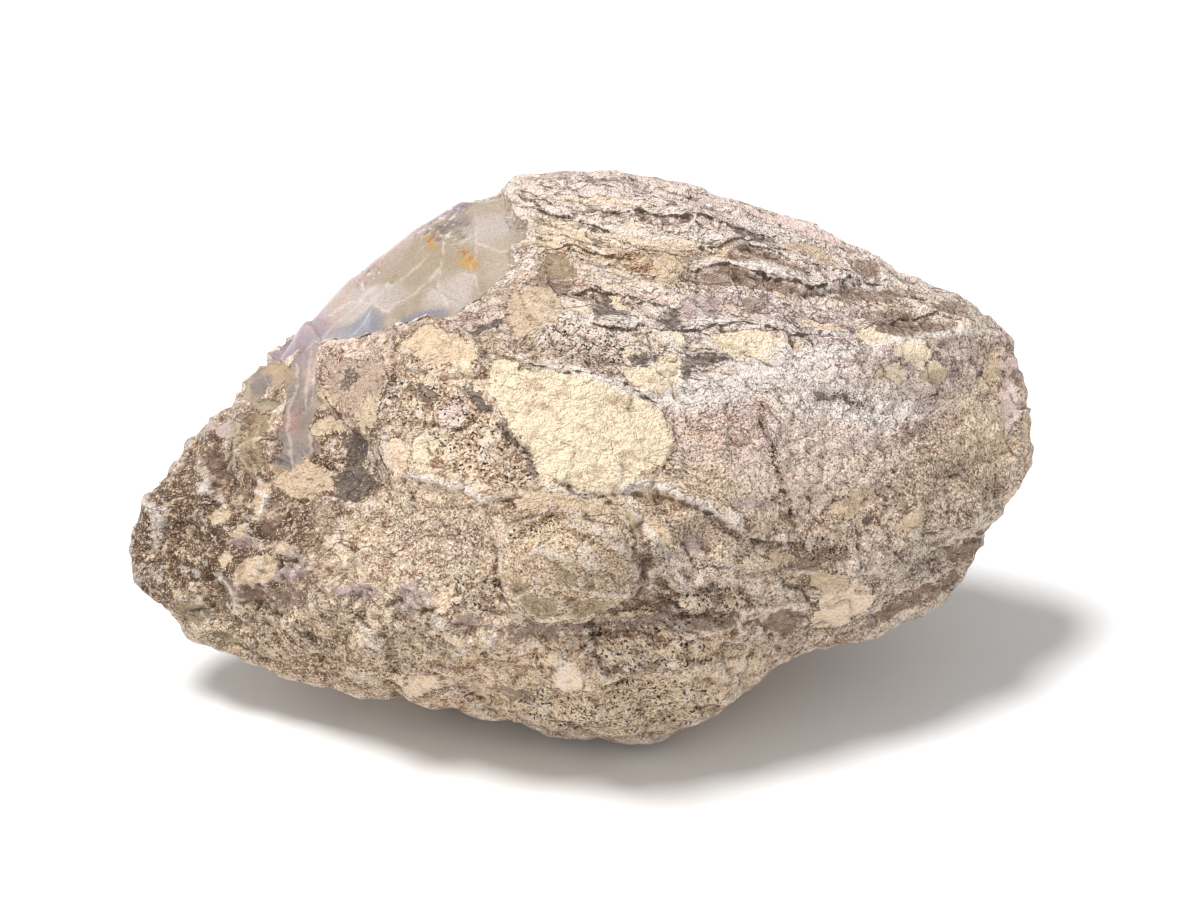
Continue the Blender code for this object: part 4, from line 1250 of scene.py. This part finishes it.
def agate_colour(medium, small, low):
    """Milky agate with soft clouds, pale veins, crushed crystal and stains, and painted shade in the pits of
    its fine relief.
    """
    milk = mix(carried("milk", "Color"), colour("milk"), ramp(medium, 0.52, 0.75, 0.0, 0.35))
    streak = ramp(carried("streak") + (small - 0.5) * 1.2, -0.35, 0.1)
    milk = mix(milk, colour("frost"), streak * 0.25)
    crushed = ramp(carried("crushed"), 0.3, 0.8)
    milk = mix(milk, colour("frost"), ramp(small, 0.54, 0.66) * crushed * 0.7)
    milk = mix(milk, colour("plum"), ramp(small, 0.48, 0.36) * crushed * 0.6)
    # painted shade in the pits of the fine relief
    milk = darkened(milk, "tan", ramp(low, 0.1, -0.3, 0.0, 0.5))
    rust = carried("rust") + (small - 0.5) * 6.0
    return mix(milk, colour("ochre"), ramp(rust, 0.0, 0.7, 0.0, 0.95))


def weathered(surface, low, grit):
    """Grains darker in the pits and paler on the grains of the bump's fine relief, partly the rock's own
    speckle and dust, partly painted shade and painted light; painted shade in the mesh's crevices and broad
    hollows; and pale crests, partly worn rock and partly painted highlight.
    """
    light = mix(colour("cream"), colour("frost"), carried("pinkish"))
    # darker in the pits and paler on the grains of the fine relief: partly speckle and dust, partly painted
    # shade and painted light
    surface = mix(surface, colour("umber"), ramp(low, -0.10, -0.60, 0.0, 0.9))
    surface = mix(surface, light, ramp(low, -0.02, 0.45, 0.0, 0.9))
    # painted shade in the crevices of the mesh
    crevice_shade = ramp(carried("proud") + (grit - 0.5) * 0.2, -0.06, -0.22)
    surface = mix(surface, colour("umber"), crevice_shade * 0.5)
    # paler crests, partly worn rock and partly painted highlight
    worn_crest_and_highlight = ramp(carried("proud") + (grit - 0.5) * 0.3, 0.08, 0.24)
    surface = mix(surface, colour("frost"), worn_crest_and_highlight * 0.4)
    # painted shade in the broad hollows
    return darkened(surface, "brown", ramp(carried("swell"), -0.1, -0.9) * 0.5)


def stone_material():
    material = bpy.data.materials.new("pale rock and milky agate")
    material.use_nodes = True
    Wire.tree = material.node_tree
    shader = material.node_tree.nodes["Principled BSDF"]
    metres = node("TexCoord", output="Object")
    place = node("VectorMath", {"operation": "SCALE"}, {0: metres, "Scale": 1 / MM})
    flow = carried("flow", "Vector")
    medium, small, grit = clouds(place, *MEDIUM_GRAIN), clouds(place, *SMALL_GRAIN), clouds(place, *GRIT)
    crust = blend(clouds(place, *CRUST), clouds(flow, *LAYERED_CRUST), carried("strata"))

    surface, calm = rock_colour(crust, medium, small)
    surface = worn_layers(surface, flow, small, calm)
    surface = scallops(surface, small)
    surface, crease = folds(surface, medium, calm)
    left_end = ramp(carried("rim"), -3.0, -2.0, 0.0, 0.45)
    strength = 1.0 - calm * 0.7 + carried("even") * 0.3 - left_end
    # the fine grain that the bump also follows; the colours drawn from it are partly the rock's speckle and
    # partly painted shade and light on that relief
    low = ((small - 0.5) * 0.3 + (grit - 0.5) * 2.3) * strength
    surface = weathered(surface, low, grit)
    surface = rock_marks(surface, place, small, grit)

    agate = ramp(carried("agate") + (small - 0.5) * 1.2, -0.05, 0.15)
    window = carried("window")
    surface = mix(surface, agate_colour(medium, small, low), agate)
    height = small * 2.2 + grit * 0.7 + crease
    height = blend(height, small * (0.9 - window * 0.8 + carried("crushed") * 1.6), agate)
    bump = node("Bump", {}, {"Strength": 1.0, "Distance": BUMP_HEIGHT, "Height": height})

    feed(shader.inputs["Base Color"], surface)
    feed(shader.inputs["Normal"], bump)
    feed(shader.inputs["Roughness"], 0.9 - agate * (0.3 + window * 0.35))
    feed(shader.inputs["Coat Weight"], window * agate * 0.6)
    feed(shader.inputs["Subsurface Weight"], agate)
    shader.inputs["Coat Roughness"].default_value = COAT_ROUGHNESS
    shader.inputs["Subsurface Radius"].default_value = SCATTER_COLOURS
    shader.inputs["Subsurface Scale"].default_value = SCATTER_DEPTH
    shader.inputs["Specular IOR Level"].default_value = SPECULAR
    return material


# ---------------------------------------------------------------- the studio

FLOOR_SIZE, FLOOR_WHITE, FLOOR_ROUGHNESS = 8, 0.93, 0.7
LIGHTS = (                              # name, direction it comes from, spread in degrees, strength
    ("key", (-0.36, -0.04, 0.95), 20, 3.2),
    ("fill", (-0.2, -0.9, 0.4), 40, 0.25),
)
SKY_HEIGHTS = (0.05, 0.30)              # between these heights the sky goes from its low to its high strength
SKY_STRENGTHS = (1.0, 0.44)
LENS, SENSOR = 85, 36                   # in mm
NEAREST = 0.01                          # where the camera's view begins, in metres


def pale_floor():
    bpy.ops.mesh.primitive_plane_add(size=FLOOR_SIZE)
    floor = bpy.context.object
    floor.name = "floor"
    paint = bpy.data.materials.new("pale floor")
    paint.use_nodes = True
    shader = paint.node_tree.nodes["Principled BSDF"]
    shader.inputs["Base Color"].default_value = (FLOOR_WHITE, FLOOR_WHITE, FLOOR_WHITE, 1)
    shader.inputs["Roughness"].default_value = FLOOR_ROUGHNESS
    floor.data.materials.append(paint)


def placed(name, data, view):
    """An object that looks along the direction `view`."""
    holder = bpy.data.objects.new(name, data)
    holder.rotation_euler = view.to_track_quat("-Z", "Y").to_euler()
    bpy.context.scene.collection.objects.link(holder)
    return holder


def soft_light():
    """A soft key light above, a fill, and a sky that is brighter near the ground."""
    for name, source, spread, strength in LIGHTS:
        light = bpy.data.lights.new(name, "SUN")
        light.angle, light.energy = math.radians(spread), strength
        placed(name, light, -Vector(source))
    world = bpy.data.worlds.new("soft white")
    world.use_nodes = True
    Wire.tree = world.node_tree
    sky = world.node_tree.nodes["Background"]
    sky.inputs["Color"].default_value = (1, 1, 1, 1)
    height = node("SeparateXYZ", {}, {0: node("TexCoord", output="Generated")}, "Z")
    feed(sky.inputs["Strength"], ramp(height, *SKY_HEIGHTS, *SKY_STRENGTHS))
    bpy.context.scene.world = world
    bpy.context.scene.view_settings.view_transform = "Standard"


def display_camera():
    data = bpy.data.cameras.new("camera")
    data.lens, data.sensor_width, data.clip_start = LENS, SENSOR, NEAREST
    camera = placed("camera", data, -Vector(VIEW))
    camera.location = Vector(MIDDLE_PLACE) + Vector(VIEW) * EYE_DISTANCE
    bpy.context.scene.camera = camera


def main():
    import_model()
    mesh, facts = stone_shape()
    dress(mesh, facts)
    mesh.materials.append(stone_material())
    for face in mesh.polygons:
        face.use_smooth = True
    stone = bpy.data.objects.new(NAME, mesh)
    bpy.context.scene.collection.objects.link(stone)
    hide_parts(NODE)
    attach(stone, "root")
    pale_floor()
    soft_light()
    display_camera()


main()
